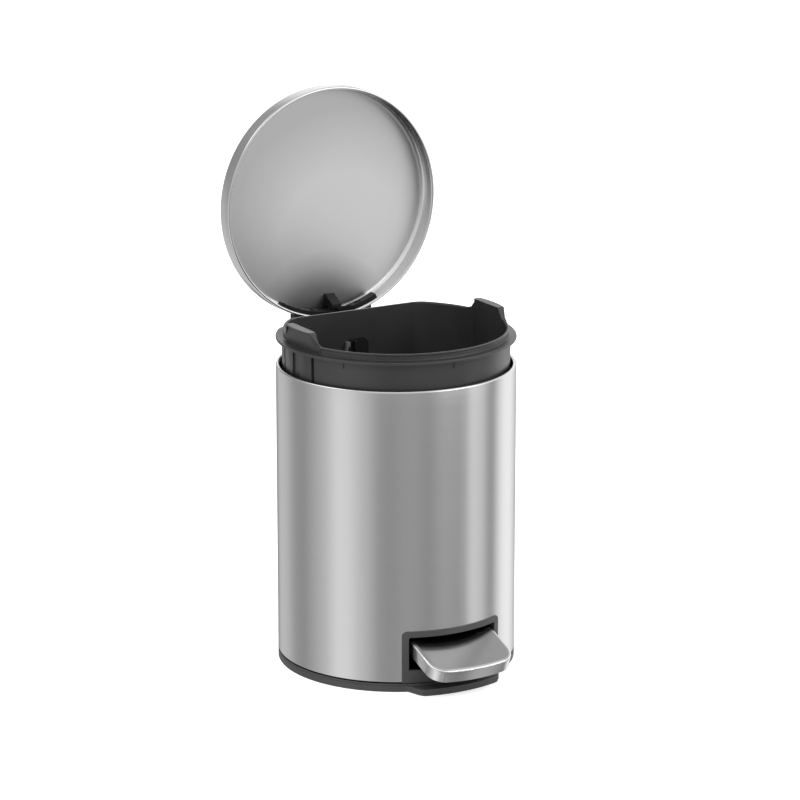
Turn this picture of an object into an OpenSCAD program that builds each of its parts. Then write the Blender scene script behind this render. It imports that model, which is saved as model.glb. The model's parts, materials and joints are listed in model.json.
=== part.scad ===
// Round step bin: steel body and lid, lift-out bucket, pedal, lever and push rod.
// Front is -Y, up is +Z, the origin is the centre of the base on the floor.
// It is drawn with the pedal down, the lid open and the bucket lifted off its seat.

/* [Body] */
// Outside radius of the steel body and lid
body_r = 102.5; // [96:0.5:115]
// Height of the body's rolled rim above the floor
body_top = 261.8; // [250:0.2:330]
// Thickness of the steel sheet
sheet = 0.8; // [0.6:0.1:1.2]
// Radius of the roll round the body's rim
bead_r = 1.65; // [1.3:0.05:2]

/* [Base] */
// Height of the plastic ring under the steel
base_h = 9; // [7:0.5:12]
// Thickness of the base's floor
base_floor = 4; // [3.5:0.5:6]
// Rounding of the base's bottom edge
base_round = 1; // [0.5:0.5:4]
// Height of the base's collar inside the steel
collar_h = 12; // [8:1:14]
// Thickness of that collar
collar_t = 3; // [2:0.5:4]
// How far the toe rest stands out in front
toe_reach = 13.1; // [8:0.5:20]
// Half width of the toe rest at the body
toe_half_w = 41; // [34:0.5:44]
// Height of the toe rest's front face
toe_h = 6; // [4:0.5:7]
// How far the middle of the rubber foot ring lies inside the body's outside
foot_inset = 9.5; // [8.5:0.5:10.5]
// Width of the rubber foot ring
foot_w = 6.4; // [4:0.2:6.4]
// Thickness of the rubber foot ring
foot_t = 1.6; // [1:0.2:2.4]

/* [Pedal frame] */
// Half width of the frame round the pedal's opening
frame_half_w = 47.2; // [44:0.1:52]
// Height of the frame's top edge
frame_top = 53.5; // [51:0.5:60]
// Width of the frame's band at the sides and the top
frame_band = 5.1; // [4:0.1:6.5]
// Height of the opening's sill
sill_top = 19.3; // [15:0.1:20]
// Rounding of the frame's upper corners
frame_corner = 4; // [3:0.5:8]
// How far the frame stands proud of the steel
frame_proud = 0.8; // [0.5:0.1:2]
// Depth of the frame behind the steel
frame_back = 2.2; // [1:0.1:3]

/* [Pedal] */
// Half width of the pedal
pedal_half_w = 39.8; // [34:0.1:40.5]
// Length of the pedal in front of the body, along its slope
pedal_reach = 38.3; // [30:0.1:50]
// Length of the pedal behind the body's front, along its slope
pedal_tail = 12; // [8:0.5:13]
// Bow of the pedal's front edge
pedal_bow = 4.8; // [1:0.1:8]
// Radius of the pedal's front corners
pedal_corner = 12; // [6:0.5:16]
// Depth of the pedal's skirt
pedal_skirt = 12; // [9:0.5:13]
// Rounding of the pedal's top edge
pedal_edge = 2.2; // [1:0.1:3]
// Thickness of the pedal's steel cap
pedal_sheet = 1; // [0.6:0.1:1.5]
// Height of the pressed pedal's top where it crosses the body's front
pedal_z = 41.5; // [39:0.1:42]
// Slope of the pressed pedal in degrees
pedal_slope = 20; // [16:0.5:21]
// Angle that the pedal turns through in degrees
pedal_press = 8; // [5:0.5:8.5]

/* [Lever] */
// Distance of the pedal's axle behind the body's front
axle_inset = 28.5; // [26:0.5:34]
// Height of the pedal's axle
axle_z = 24; // [22:0.5:25]
// Radius of the pedal's axle
axle_r = 3; // [2:0.1:3.5]
// Angle of the pressed lever behind its axle, in degrees
lever_rise = 7; // [5:0.5:8]
// Half width of the lever's channel
lever_half_w = 14; // [11:0.5:15]
// Thickness of the lever's steel
lever_t = 2; // [1.5:0.1:2.5]

/* [Rod] */
// Distance of the push rod in front of the hinge pin
rod_inset = 21.75; // [21:0.25:23]
// Radius of the push rod
rod_r = 2.5; // [2:0.1:3]
// Radius of the return spring's wire
wire_r = 0.6; // [0.4:0.05:0.7]
// Mean radius of the return spring
spring_r = 4.4; // [4:0.1:5]
// Number of curls in the return spring
spring_turns = 11; // [8:1:14]
// Radius of the closing damper
damper_r = 5.5; // [4.5:0.5:6]
// Distance of the damper from the rod
damper_side = 15; // [14.5:0.5:16]

/* [Lid] */
// Depth of the lid at its edge
lid_depth = 18.8; // [18.5:0.1:24]
// Radius of the lid's upper corner
lid_corner = 5.7; // [4:0.1:7]
// Rise of the lid's middle over its edge
lid_dome = 1.4; // [0:0.1:3]
// Radius of the lid's rolled hem
hem_r = 1.4; // [1:0.1:1.6]
// Height of the closed lid's hem over the body's rim
lid_gap = 3.05; // [3:0.05:4]
// Angle that the lid opens through in degrees
lid_open = 90; // [70:1:95]

/* [Hinge] */
// Distance of the hinge pin behind the body
hinge_back = 9.25; // [8.5:0.05:11]
// Height of the hinge pin over the closed lid's hem
hinge_rise = 2.25; // [2:0.05:2.5]
// Radius of the hinge pin
hinge_pin_r = 2; // [1.5:0.1:2.5]
// Radius of the hinge's knuckles
knuckle_r = 4.8; // [4:0.1:5]
// Half width of the hinge
hinge_half_w = 38.3; // [36:0.1:42]
// Height of the hinge block on the back of the body
hinge_h = 33; // [28:1:44]
// Thickness of the bracket behind the lid
bracket_t = 8.5; // [7:0.1:10]

/* [Bucket] */
// Height that the bucket is lifted off its seat
bucket_lift = 21.5; // [15:0.5:22]
// Thickness of the bucket's flange
flange_t = 2.4; // [1.8:0.1:2.4]
// How far the bucket's side, under its flange, lies inside the body's outside
bucket_inset = 4.9; // [4.5:0.1:8]
// How much narrower the bucket's radius is at its floor
bucket_taper = 6.6; // [3:0.1:12]
// How far the bucket's mouth lies inside the flange's edge
mouth_inset = 6.2; // [5:0.1:9]
// Height of the mouth over the flange's underside
mouth_h = 8.6; // [7:0.1:10]
// Height of the handles over the flange's underside
handle_h = 18.6; // [15:0.1:19.4]
// Half width of a handle along its top
handle_half_w = 19.5; // [16:0.5:26]
// Depth of a handle's top from its flat inner face to its outer edge
handle_depth = 8.5; // [6:0.1:9]
// Height of the seated bucket's underside over the pedal's rear edge
bucket_under = 6.5; // [5:0.5:30]
// Distance of the bucket's flat back from the body's outside
back_space = 31; // [30.5:0.5:36]
// Thickness of the bucket's wall
bucket_wall = 2.2; // [1.8:0.1:3]
// Half width of the bag clip's window
clip_half_w = 12.4; // [9:0.1:15]

/* [Hidden] */
$fn = 96;

// Clearances and the overrun of a cut
clear = 0.3;
fit = 0.05;
over = 2;

// Steel body and the space inside it
inner_r = body_r - sheet;
bead_mid_r = body_r - bead_r;
flat_y = body_r - back_space;
foot_r = body_r - foot_inset;

// Base
collar_r = inner_r - clear;
toe_taper_share = 0.885;
toe_front_half_w = toe_half_w * toe_taper_share;
toe_bevel = 1;
groove_clear = 0.1;

// Pedal frame and its opening
open_half_w = frame_half_w - frame_band;
open_top = frame_top - frame_band - groove_clear;
frame_lap = 2.2;
frame_cut_half_w = frame_half_w - frame_lap + clear;
frame_cut_top = frame_top - frame_lap + clear;
open_corner = 1.5;
cheek_t = 2;
cheek_depth = 11;
open_edge_y = -sqrt(body_r * body_r - open_half_w * open_half_w);

// Pedal, in a frame that lies on its sloping top
axle_y = -body_r + axle_inset;
pedal_layers = 4;
corner_steps = 6;
bow_steps = 10;
core_gap = 0.1;
core_rib = 2.4;
core_top_t = 3;
core_lift = 0.6;

// Lid in its closed place, and the hinge pin behind it
lid_hem_z = body_top + lid_gap;
lid_roof_z = lid_hem_z + lid_depth - sheet;
hinge_y = body_r + hinge_back;
hinge_z = lid_hem_z + hinge_rise;
dome_steps = 6;
lever_tip_depth = 3.5;
tip_z = lid_hem_z + lever_tip_depth;
lever_x = 0.5;
lever_w = 9.5;
lever_root = 6;
liner_r = inner_r - clear;
liner_t = 4.9;
liner_h = 8;
liner_rise = 2 * hem_r + clear;
liner_z = lid_hem_z + liner_rise;
liner_left_angle = -30;
liner_right_angle = 27;
liner_gap_from_angle = 8.8;
liner_gap_to_angle = 11.2;
lid_screw_angles = [-19.5, -9, 16];
screw_r = 1.6;
screw_head_r = 3.1;
screw_head_t = 1.6;
lid_screw_len = 10;

// Hinge knuckles along the pin
knuckle_mid = 7.7;
knuckle_split = 23.85;
knuckle_gap = 0.3;
knuckle_foot = 4.4;
hinge_back_t = hinge_back + knuckle_r + over;
hinge_block_top = hinge_z - knuckle_r - clear;
hinge_block_half_w = hinge_half_w - over;
hinge_corner = 8;
bracket_drop_share = 0.2;
hinge_screw_x = 19;
hinge_screw_z = hinge_block_top - hinge_h / 2;
hinge_screw_r = 1.9;
hinge_screw_head_r = 3.8;
hinge_screw_head_t = 2.4;

// Lever, whose rear end carries the push rod
rod_y = hinge_y - rod_inset;
lever_len = (rod_y - axle_y) / cos(lever_rise);
lever_end = 5.5;
lever_web_top = 9;
lever_nose = 26;
lever_tail = 10;
lever_drop = 7;
lever_seat = 7;
lever_lip = 4;
lever_end_h = 2;
bush_wall = 1.5;
bush_head_t = 1;
bush_head_r = axle_r + bush_wall * 2;
pad_t = 3;
pad_len = 14;
rivet_r = 2;
rivet_head_r = 3.6;
rivet_head_t = 1;
rivet_pitch = 16;

// Axle brackets on the base's floor
bracket_in = 20;
bracket_wall = 4;
bracket_foot = 13;
bracket_half_d = 9;
bracket_foot_t = 3;
axle_half = bracket_in + bracket_wall + over;
clip_t = 1;
clip_grow = 1.8;

// Push rod: how far it travels and where its ends are
rod_travel = lever_len * (sin(lever_rise) - sin(lever_rise - pedal_press));
foot_z = axle_z + (lever_len + lever_end) * sin(lever_rise) + (lever_end_h + pad_t) * cos(lever_rise) + clear;
rod_foot_h = 12;
rod_foot_r = 6;
rod_foot_floor = 3;
head_top = tip_z - clear - groove_clear + rod_travel;
head_h = 8.2;
head_half_w = 8;
head_half_d = 5;
head_bevel = 2;
head_cap = 2;

// Rear channel that houses the rod, the spring and the damper
channel_gap = 5.5;
channel_front = flat_y + channel_gap;
channel_wall = 2;
channel_half_w = 30;
cover_t = 2.4;
cover_gap = 1.8;
cover_lip = 3;
channel_top = body_top - bead_r * 2 - cover_t - clear;
channel_back_r = inner_r - clear * 2;
channel_slot_half_w = lever_half_w + over;
channel_slot_h = 62;
deck_t = 2.5;
shelf_z = 150;
shelf_t = 3;
shelf_half_w = 7;
runner_x = 20;
runner_w = 4;
runner_z = 84;
guide_wall = 2;
guide_flange = 4;
guide_flange_t = 1.4;
boss_r = 4;

// Damper and spring
damper_z = 120;
damper_wall = 1.2;
piston_r = 1.5;
cross_h = 8;
cross_wall = 2.5;
cross_gap = 8.5;
cross_z = hinge_screw_z - boss_r - cross_gap - cross_h;
damper_h = cross_z - rod_travel - over * 2 - damper_z;
piston_depth_share = 0.45;
piston_end_z = damper_z + damper_h * piston_depth_share;
spring_len = 50;
collar_seat_z = shelf_z - spring_len - wire_r * 2 - clear * 2;
spring_collar_h = 5;
spring_collar_r = 6.2;
curl_rings = 8;
wire_sides = 6;

// Screws through the base's floor
base_screw_r = 1.9;
base_screw_head_r = 3.2;
base_screw_head_t = 1.8;
base_screw_sink = 0.3;
base_screw_len = 6;
channel_screw_x = channel_half_w - boss_r;
channel_screw_y = channel_front + boss_r;
channel_foot_h = 9;
screw_offset = 4;
foot_screw_x = bracket_in + bracket_wall + bracket_foot / 2;
base_screw_places = [
    for (x = [-foot_screw_x, foot_screw_x], y = [axle_y - screw_offset, axle_y + screw_offset]) [x, y],
    for (x = [-channel_screw_x, channel_screw_x]) [x, channel_screw_y]
];

// Bucket in its lifted place
flange_z = body_top + clear + bucket_lift;
flange_r = body_r;
bucket_r = body_r - bucket_inset;
bucket_floor_r = bucket_r - bucket_taper;
mouth_r = flange_r - mouth_inset;
bucket_z = pedal_z + pedal_tail * sin(pedal_slope) + bucket_under + bucket_lift;
mouth_z = flange_z + mouth_h;
handle_z = flange_z + handle_h;
bucket_edge = 4;
mouth_lip_h = 1.6;
mouth_lip = 0.7;
handle_spread = 12;
handle_lip = 1;
handle_r = mouth_r + handle_lip;
handle_in = handle_r - handle_depth;
handle_angle = asin((handle_half_w + handle_spread) / handle_in);
grip_depth = 3.1;
grip_edge = 1.6;
groove_angle = 14.5;
groove_w = 3.4;
groove_depth = 1.2;
groove_h = 30;
panel_depth = 0.9;
flute_half_w = 6;
flute_depth = 1.3;
rib_w = 1;
rib_h = 5;
rib_out = 0.8;
rib_angles = [-60, 0, 60];

// Bag clip in the bucket's flat back
clip_drop = 25;
clip_top = mouth_z - clip_drop;
clip_h = 27;
clip_corner = 7.5;
clip_lap = 1.6;
clip_plate_t = 1.4;
clip_rib_x = -3;
clip_rib_w = 2.5;
clip_rib_out = 3.5;
clip_hook_w = 5;
clip_hook_share = 0.78;

// A point on the pedal's side view: v runs up its slope and w is square to its top
function on_pedal(v, w) = [
    -body_r + v * cos(pedal_slope) - w * sin(pedal_slope),
    pedal_z + v * sin(pedal_slope) + w * cos(pedal_slope)
];

// A point on the lever's side view: s runs back from the axle and h is square to the lever
function on_lever(s, h) = [
    axle_y + s * cos(lever_rise) - h * sin(lever_rise),
    axle_z + s * sin(lever_rise) + h * cos(lever_rise)
];

// The pedal's outline from above, drawn in by an inset
function pedal_outline(inset, tail) =
    let (
        w = pedal_half_w,
        bow_r = (w * w + pedal_bow * pedal_bow) / (2 * pedal_bow),
        x0 = w - pedal_corner,
        y_bow = -pedal_reach + bow_r,
        y0 = y_bow - sqrt((bow_r - pedal_corner) * (bow_r - pedal_corner) - x0 * x0),
        turn = asin(x0 / (bow_r - pedal_corner)),
        rc = pedal_corner - inset,
        rb = bow_r - inset
    )
    concat(
        [[w - inset, tail]],
        [for (i = [0:corner_steps]) let (a = -i * (90 - turn) / corner_steps)
            [x0 + rc * cos(a), y0 + rc * sin(a)]],
        [for (i = [1:bow_steps - 1]) let (a = turn - 2 * turn * i / bow_steps)
            [rb * sin(a), y_bow - rb * cos(a)]],
        [for (i = [corner_steps:-1:0]) let (a = -i * (90 - turn) / corner_steps)
            [-x0 - rc * cos(a), y0 + rc * sin(a)]],
        [[inset - w, tail]]
    );

// Puts children drawn on the pedal's top into their place
module pedal_place() {
    translate([0, -body_r, pedal_z])
        rotate([pedal_slope, 0, 0])
            children();
}

// Draws an outline of the YZ plane as a plate that lies square to X
module side_plate(x, t) {
    translate([x, 0, 0])
        rotate([90, 0, 90])
            linear_extrude(t)
                children();
}

// Draws an outline of the XZ plane as a block that runs from y0 to y1
module front_block(y0, y1) {
    translate([0, y1, 0])
        rotate([90, 0, 0])
            linear_extrude(y1 - y0)
                children();
}

// A rod along X
module x_rod(x0, x1, y, z, r) {
    translate([x0, y, z])
        rotate([0, 90, 0])
            cylinder(h = x1 - x0, r = r);
}

// A rod along Y
module y_rod(y0, y1, x, z, r) {
    translate([x, y1, z])
        rotate([90, 0, 0])
            cylinder(h = y1 - y0, r = r);
}

// A ring round Z
module ring(r_out, r_in, z0, z1) {
    difference() {
        translate([0, 0, z0])
            cylinder(h = z1 - z0, r = r_out);
        translate([0, 0, z0 - over])
            cylinder(h = z1 - z0 + 2 * over, r = r_in);
    }
}

// A rectangle with its upper corners rounded
module arch(half_w, z0, z1, r) {
    translate([-half_w, z0])
        square([2 * half_w, z1 - z0 - r]);
    translate([-half_w + r, z0])
        square([2 * (half_w - r), z1 - z0]);
    for (x = [-half_w + r, half_w - r])
        translate([x, z1 - r])
            circle(r);
}

// A rectangle with its lower corners rounded
module cup(half_w, z0, z1, r) {
    translate([0, z0 + z1])
        mirror([0, 1])
            arch(half_w, z0, z1, r);
}

// Turns the lid's pieces from closed to open about the hinge pin
module lid_place() {
    translate([0, hinge_y, hinge_z])
        rotate([-lid_open, 0, 0])
            translate([0, -hinge_y, -hinge_z])
                children();
}

// A screw that stands on its tip: the head is on top
module screw(shank_r, shank_len, head_r, head_t) {
    cylinder(h = shank_len, r = shank_r);
    translate([0, 0, shank_len])
        cylinder(h = head_t, r = head_r);
}

module outer_shell() {
    color([0.72, 0.72, 0.71])
    difference() {
        union() {
            ring(body_r, inner_r, base_h, body_top - bead_r);
            rotate_extrude()
                translate([bead_mid_r, body_top - bead_r])
                    circle(bead_r);
        }
        front_block(-body_r - over, 0)
            arch(frame_cut_half_w, base_h - over, frame_cut_top, frame_corner);
        for (x = [-hinge_screw_x, hinge_screw_x])
            y_rod(0, body_r + over, x, hinge_screw_z, hinge_screw_r + clear);
    }
}

// The base's own cross-section: floor, ring and collar
module base_section() {
    square([body_r - base_round, base_floor]);
    translate([0, base_round])
        square([body_r, base_floor - base_round]);
    translate([collar_r - collar_t, base_round])
        square([body_r - collar_r + collar_t, base_h - base_round]);
    intersection() {
        translate([body_r - base_round, base_round])
            circle(base_round);
        translate([body_r - base_round, 0])
            square(base_round);
    }
    translate([collar_r - collar_t, base_h - base_round])
        square([collar_t, collar_h + base_round]);
}

// The toe rest in front, with a top that rises to the body
module toe_rest() {
    toe_r = body_r + toe_reach;
    intersection() {
        union() {
            cylinder(h = toe_bevel, r1 = toe_r - toe_bevel, r2 = toe_r);
            translate([0, 0, toe_bevel])
                cylinder(h = toe_h - toe_bevel, r = toe_r);
            translate([0, 0, toe_h])
                cylinder(h = base_h - toe_h, r1 = toe_r, r2 = body_r - base_round);
        }
        linear_extrude(base_h)
            polygon([
                [-toe_half_w, axle_y], [toe_half_w, axle_y], [toe_half_w, -body_r],
                [toe_front_half_w, -toe_r - over], [-toe_front_half_w, -toe_r - over],
                [-toe_half_w, -body_r]
            ]);
    }
}

module base() {
    color([0.2, 0.2, 0.2])
    difference() {
        union() {
            difference() {
                rotate_extrude()
                    base_section();
                front_block(-body_r - over, axle_y)
                    arch(frame_half_w + clear, base_h, base_h + collar_h + over, open_corner);
            }
            difference() {
                toe_rest();
                translate([0, 0, base_floor])
                    cylinder(h = base_h, r = collar_r - collar_t + clear);
            }
        }
        ring(foot_r + foot_w / 2 + groove_clear, foot_r - foot_w / 2 - groove_clear, -over, foot_t);
        for (p = base_screw_places)
            translate([p[0], p[1], 0]) {
                translate([0, 0, -over])
                    cylinder(h = base_floor + 2 * over, r = base_screw_r + clear);
                translate([0, 0, -over])
                    cylinder(h = over + base_screw_sink + base_screw_head_t, r = base_screw_head_r + clear);
            }
    }
}

module foot_ring() {
    color([0.08, 0.08, 0.08])
        ring(foot_r + foot_w / 2, foot_r - foot_w / 2, 0, foot_t);
}

module pedal_frame() {
    color([0.2, 0.2, 0.2])
    difference() {
        union() {
            intersection() {
                ring(body_r + frame_proud, body_r + groove_clear, base_h, frame_top);
                front_block(-body_r - frame_proud - over, axle_y)
                    arch(frame_half_w, base_h, frame_top, frame_corner);
            }
            intersection() {
                ring(body_r + groove_clear, inner_r - frame_back, base_h, frame_top);
                front_block(-body_r - over, axle_y)
                    arch(frame_cut_half_w - clear, base_h, frame_cut_top - clear, frame_corner - clear);
            }
            intersection() {
                for (side = [0, 1])
                    mirror([side, 0, 0])
                        side_plate(open_half_w, cheek_t)
                            translate([open_edge_y, base_h])
                                square([cheek_depth, open_top + cheek_t - base_h]);
                cylinder(h = frame_top, r = inner_r);
            }
        }
        front_block(-body_r - 2 * over, axle_y + over)
            arch(open_half_w, sill_top, open_top, open_corner);
    }
}

module axle_brackets() {
    color([0.16, 0.16, 0.17])
    for (s = [0, 1])
        mirror([s, 0, 0])
            difference() {
                union() {
                    side_plate(bracket_in, bracket_wall)
                        translate([axle_y, 0])
                            arch(bracket_half_d, base_floor, axle_z + bracket_half_d, bracket_half_d - clear);
                    translate([bracket_in, axle_y - bracket_half_d, base_floor])
                        cube([bracket_wall + bracket_foot, 2 * bracket_half_d, bracket_foot_t]);
                    for (y = [-bracket_half_d, bracket_half_d - core_rib])
                        side_plate(bracket_in, bracket_wall)
                            translate([axle_y + y, base_floor])
                                square([core_rib, bracket_foot_t + over]);
                }
                x_rod(bracket_in - over, bracket_in + bracket_wall + over, axle_y, axle_z, axle_r + fit);
                for (y = [-screw_offset, screw_offset])
                    translate([foot_screw_x, axle_y + y, base_floor - over])
                        cylinder(h = bracket_foot_t + 2 * over, r = base_screw_r + fit);
            }
}

module pedal_axle() {
    color([0.7, 0.7, 0.72])
        x_rod(-axle_half, axle_half, axle_y, axle_z, axle_r);
}

module axle_clips() {
    color([0.5, 0.5, 0.52])
    for (x = [-axle_half + clear, axle_half - clear - clip_t])
        difference() {
            x_rod(x, x + clip_t, axle_y, axle_z, axle_r + clip_grow);
            x_rod(x - over, x + clip_t + over, axle_y, axle_z, axle_r + fit);
        }
}

// The channel's floor plan between its front wall and the steel body
module channel_plan(grow) {
    intersection() {
        translate([-channel_half_w + grow, channel_front + grow])
            square([2 * (channel_half_w - grow), body_r]);
        circle(channel_back_r);
    }
}

module rear_channel() {
    color([0.1, 0.1, 0.1])
    difference() {
        union() {
            difference() {
                translate([0, 0, base_floor])
                    linear_extrude(channel_top - base_floor)
                        intersection() {
                            channel_plan(0);
                            circle(collar_r - collar_t - clear);
                        }
                translate([0, 0, base_floor - over])
                    linear_extrude(channel_top - base_floor + over - deck_t)
                        translate([-channel_half_w + channel_wall, channel_front + channel_wall])
                            square([2 * (channel_half_w - channel_wall), body_r]);
                translate([-channel_slot_half_w, channel_front - over, base_floor - over])
                    cube([2 * channel_slot_half_w, channel_wall + 2 * over, channel_slot_h]);
            }
            intersection() {
                union() {
                    for (x = [-hinge_screw_x, hinge_screw_x])
                        y_rod(channel_front, body_r, x, hinge_screw_z, boss_r);
                }
                cylinder(h = body_top, r = channel_back_r);
            }
            translate([-shelf_half_w, channel_front, shelf_z])
                cube([channel_half_w + shelf_half_w - fit, rod_y + shelf_half_w - channel_front, shelf_t]);
            for (x = [-runner_x, runner_x])
                translate([x - runner_w / 2, flat_y + fit, runner_z])
                    cube([runner_w, channel_gap + channel_wall - fit, channel_top - runner_z]);
            for (z = [damper_z + over, damper_z + damper_h - shelf_t - over])
                translate([-damper_side, 0, z])
                    translate([-shelf_half_w, channel_front, 0])
                        cube([2 * shelf_half_w, rod_y - channel_front, shelf_t]);
            for (x = [-channel_screw_x, channel_screw_x])
                translate([x, channel_screw_y, base_floor])
                    cylinder(h = channel_foot_h, r = boss_r);
        }
        translate([0, rod_y, shelf_z - over])
            cylinder(h = shelf_t + 2 * over, r = rod_r + clear);
        translate([0, rod_y, channel_top - deck_t - over])
            cylinder(h = deck_t + 2 * over, r = rod_r + guide_wall + fit);
        translate([-damper_side, rod_y, damper_z])
            cylinder(h = damper_h, r = damper_r + fit);
        for (x = [-hinge_screw_x, hinge_screw_x])
            y_rod(channel_front + channel_wall, body_r, x, hinge_screw_z, hinge_screw_r + fit);
        for (x = [-channel_screw_x, channel_screw_x])
            translate([x, channel_screw_y, base_floor - over])
                cylinder(h = base_screw_len + over, r = base_screw_r + fit);
    }
}

module segment_cover() {
    color([0.09, 0.09, 0.09])
    difference() {
        union() {
            translate([0, 0, channel_top])
                linear_extrude(cover_t)
                    intersection() {
                        circle(bead_mid_r - bead_r - clear * 2);
                        translate([-body_r, flat_y + clip_lap + clip_plate_t + cover_gap])
                            square([2 * body_r, body_r]);
                    }
            translate([0, 0, channel_top - cover_lip])
                linear_extrude(cover_lip)
                    intersection() {
                        circle(bead_mid_r - bead_r - clear * 2);
                        for (s = [0, 1])
                            mirror([s, 0])
                                translate([channel_half_w + clear, channel_front])
                                    square([channel_wall, body_r]);
                    }
        }
        translate([-head_half_w - cover_gap, rod_y - head_half_d - cover_gap, channel_top - over])
            cube([2 * (head_half_w + cover_gap), 2 * (head_half_d + cover_gap), cover_t + 2 * over]);
    }
}

module rod_guide() {
    color([0.85, 0.85, 0.82])
    translate([0, rod_y, 0])
        difference() {
            union() {
                translate([0, 0, channel_top - deck_t])
                    cylinder(h = deck_t, r = rod_r + guide_wall);
                translate([0, 0, channel_top])
                    cylinder(h = guide_flange_t, r = rod_r + guide_flange);
            }
            translate([0, 0, channel_top - deck_t - over])
                cylinder(h = deck_t + guide_flange_t + 2 * over, r = rod_r + fit);
        }
}

module damper_cylinder() {
    color([0.3, 0.3, 0.32])
    translate([-damper_side, rod_y, 0])
        difference() {
            translate([0, 0, damper_z])
                cylinder(h = damper_h, r = damper_r);
            translate([0, 0, damper_z + damper_wall * 2])
                cylinder(h = damper_h - damper_wall * 4, r = damper_r - damper_wall);
            translate([0, 0, damper_z + damper_wall * 2])
                cylinder(h = damper_h, r = piston_r + fit);
        }
}

module hinge_block() {
    color([0.13, 0.13, 0.13])
    difference() {
        union() {
            intersection() {
                ring(body_r + hinge_back_t, body_r + clear, hinge_block_top - hinge_h, hinge_block_top);
                front_block(0, body_r + hinge_back_t + over)
                    cup(hinge_block_half_w, hinge_block_top - hinge_h, hinge_block_top, hinge_corner);
            }
            for (s = [0, 1])
                mirror([s, 0, 0]) {
                    x_rod(knuckle_mid + knuckle_gap, knuckle_split - knuckle_gap, hinge_y, hinge_z,
                        knuckle_r);
                    translate([knuckle_mid + knuckle_gap, hinge_y - knuckle_foot, hinge_block_top - over])
                        cube([knuckle_split - knuckle_mid - 2 * knuckle_gap, 2 * knuckle_foot,
                            hinge_z - hinge_block_top + over]);
                }
        }
        x_rod(-hinge_half_w, hinge_half_w, hinge_y, hinge_z, hinge_pin_r + fit);
        for (x = [-hinge_screw_x, hinge_screw_x]) {
            y_rod(0, body_r + hinge_back_t + over, x, hinge_screw_z, hinge_screw_r + clear);
            y_rod(hinge_y, body_r + hinge_back_t + over, x, hinge_screw_z, hinge_screw_head_r + clear);
        }
    }
}

module hinge_pin() {
    color([0.75, 0.75, 0.76])
        x_rod(-hinge_half_w + clear, hinge_half_w - clear, hinge_y, hinge_z, hinge_pin_r);
}

module hinge_screws() {
    color([0.6, 0.6, 0.62])
    for (x = [-hinge_screw_x, hinge_screw_x]) {
        y_rod(channel_front + channel_wall + over, hinge_y + fit, x, hinge_screw_z, hinge_screw_r);
        y_rod(hinge_y + fit, hinge_y + hinge_screw_head_t, x, hinge_screw_z, hinge_screw_head_r);
    }
}

module base_screws() {
    color([0.6, 0.6, 0.62])
    for (p = base_screw_places)
        translate([p[0], p[1], base_screw_sink])
            mirror([0, 0, 1])
                translate([0, 0, -base_screw_len - base_screw_head_t])
                    screw(base_screw_r, base_screw_len, base_screw_head_r, base_screw_head_t);
}

// One skin of the lid's cross-section, drawn in by an inset
module lid_section(inset, z0) {
    r = body_r - inset;
    c = lid_corner - inset;
    flat_z = lid_depth - inset;
    translate([0, z0])
        square([r, lid_depth - lid_corner - z0]);
    translate([0, z0])
        square([r - c, flat_z - z0]);
    translate([r - c, lid_depth - lid_corner])
        circle(c);
    polygon(concat(
        [[0, 0]], [[r - c, 0]],
        [for (i = [dome_steps:-1:0]) let (t = i / dome_steps)
            [(r - c) * t, flat_z + lid_dome * (1 - t * t)]]
    ));
}

module lid_shell() {
    color([0.72, 0.72, 0.71])
    lid_place()
        difference() {
            translate([0, 0, lid_hem_z])
                rotate_extrude() {
                    difference() {
                        lid_section(0, hem_r);
                        lid_section(sheet, -over);
                    }
                    translate([body_r - hem_r, hem_r])
                        circle(hem_r);
                }
            for (a = lid_screw_angles)
                rotate([0, 0, -a])
                    y_rod(inner_r - over, body_r + over, 0, liner_z + liner_h / 2, screw_r + clear);
        }
}

module lid_bracket() {
    slab_z = hinge_z - bracket_t * bracket_drop_share;
    color([0.13, 0.13, 0.13])
    lid_place()
        difference() {
            union() {
                for (x = [[-hinge_half_w, -knuckle_split], [-knuckle_mid, knuckle_mid],
                        [knuckle_split, hinge_half_w]])
                    x_rod(x[0], x[1], hinge_y, hinge_z, knuckle_r);
                difference() {
                    translate([-hinge_half_w, 0, slab_z])
                        cube([2 * hinge_half_w, hinge_y, bracket_t]);
                    for (s = [0, 1])
                        mirror([s, 0, 0])
                            x_rod(knuckle_mid, knuckle_split, hinge_y, hinge_z, knuckle_r + 2 * clear);
                }
            }
            translate([0, 0, body_top - over])
                cylinder(h = lid_depth + 2 * over + lid_gap, r = body_r + clear / 2);
            x_rod(-body_r, body_r, hinge_y, hinge_z, hinge_pin_r + fit);
            for (a = lid_screw_angles)
                rotate([0, 0, -a])
                    y_rod(body_r - over, liner_r - liner_t + lid_screw_len, 0, liner_z + liner_h / 2,
                        screw_r + fit);
        }
}

// A stretch of the lid's inner strip between two angles from the back
module liner_piece(from, to) {
    rotate([0, 0, 90 - to])
        rotate_extrude(angle = to - from)
            translate([liner_r - liner_t, liner_z])
                square([liner_t, liner_h]);
}

module lid_liner() {
    color([0.07, 0.07, 0.07])
    lid_place()
        for (span = [[liner_left_angle, liner_gap_from_angle], [liner_gap_to_angle, liner_right_angle]])
            difference() {
                liner_piece(span[0], span[1]);
                for (a = lid_screw_angles)
                    if (a > span[0] && a < span[1])
                        rotate([0, 0, -a])
                            y_rod(liner_r - liner_t - over, body_r, 0, liner_z + liner_h / 2,
                            screw_r + clear);
            }
}

module lid_lever() {
    back_y = liner_r - liner_t - clear * 2;
    color([0.07, 0.07, 0.07])
    lid_place()
        side_plate(lever_x, lever_w)
            polygon([
                [back_y, tip_z], [back_y, liner_z + liner_h], [back_y - over / 2, liner_z + liner_h],
                [back_y - over / 2, lid_roof_z - clear], [back_y - 2 * lever_root, lid_roof_z - clear],
                [back_y - lever_root + over / 2, tip_z]
            ]);
}

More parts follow.
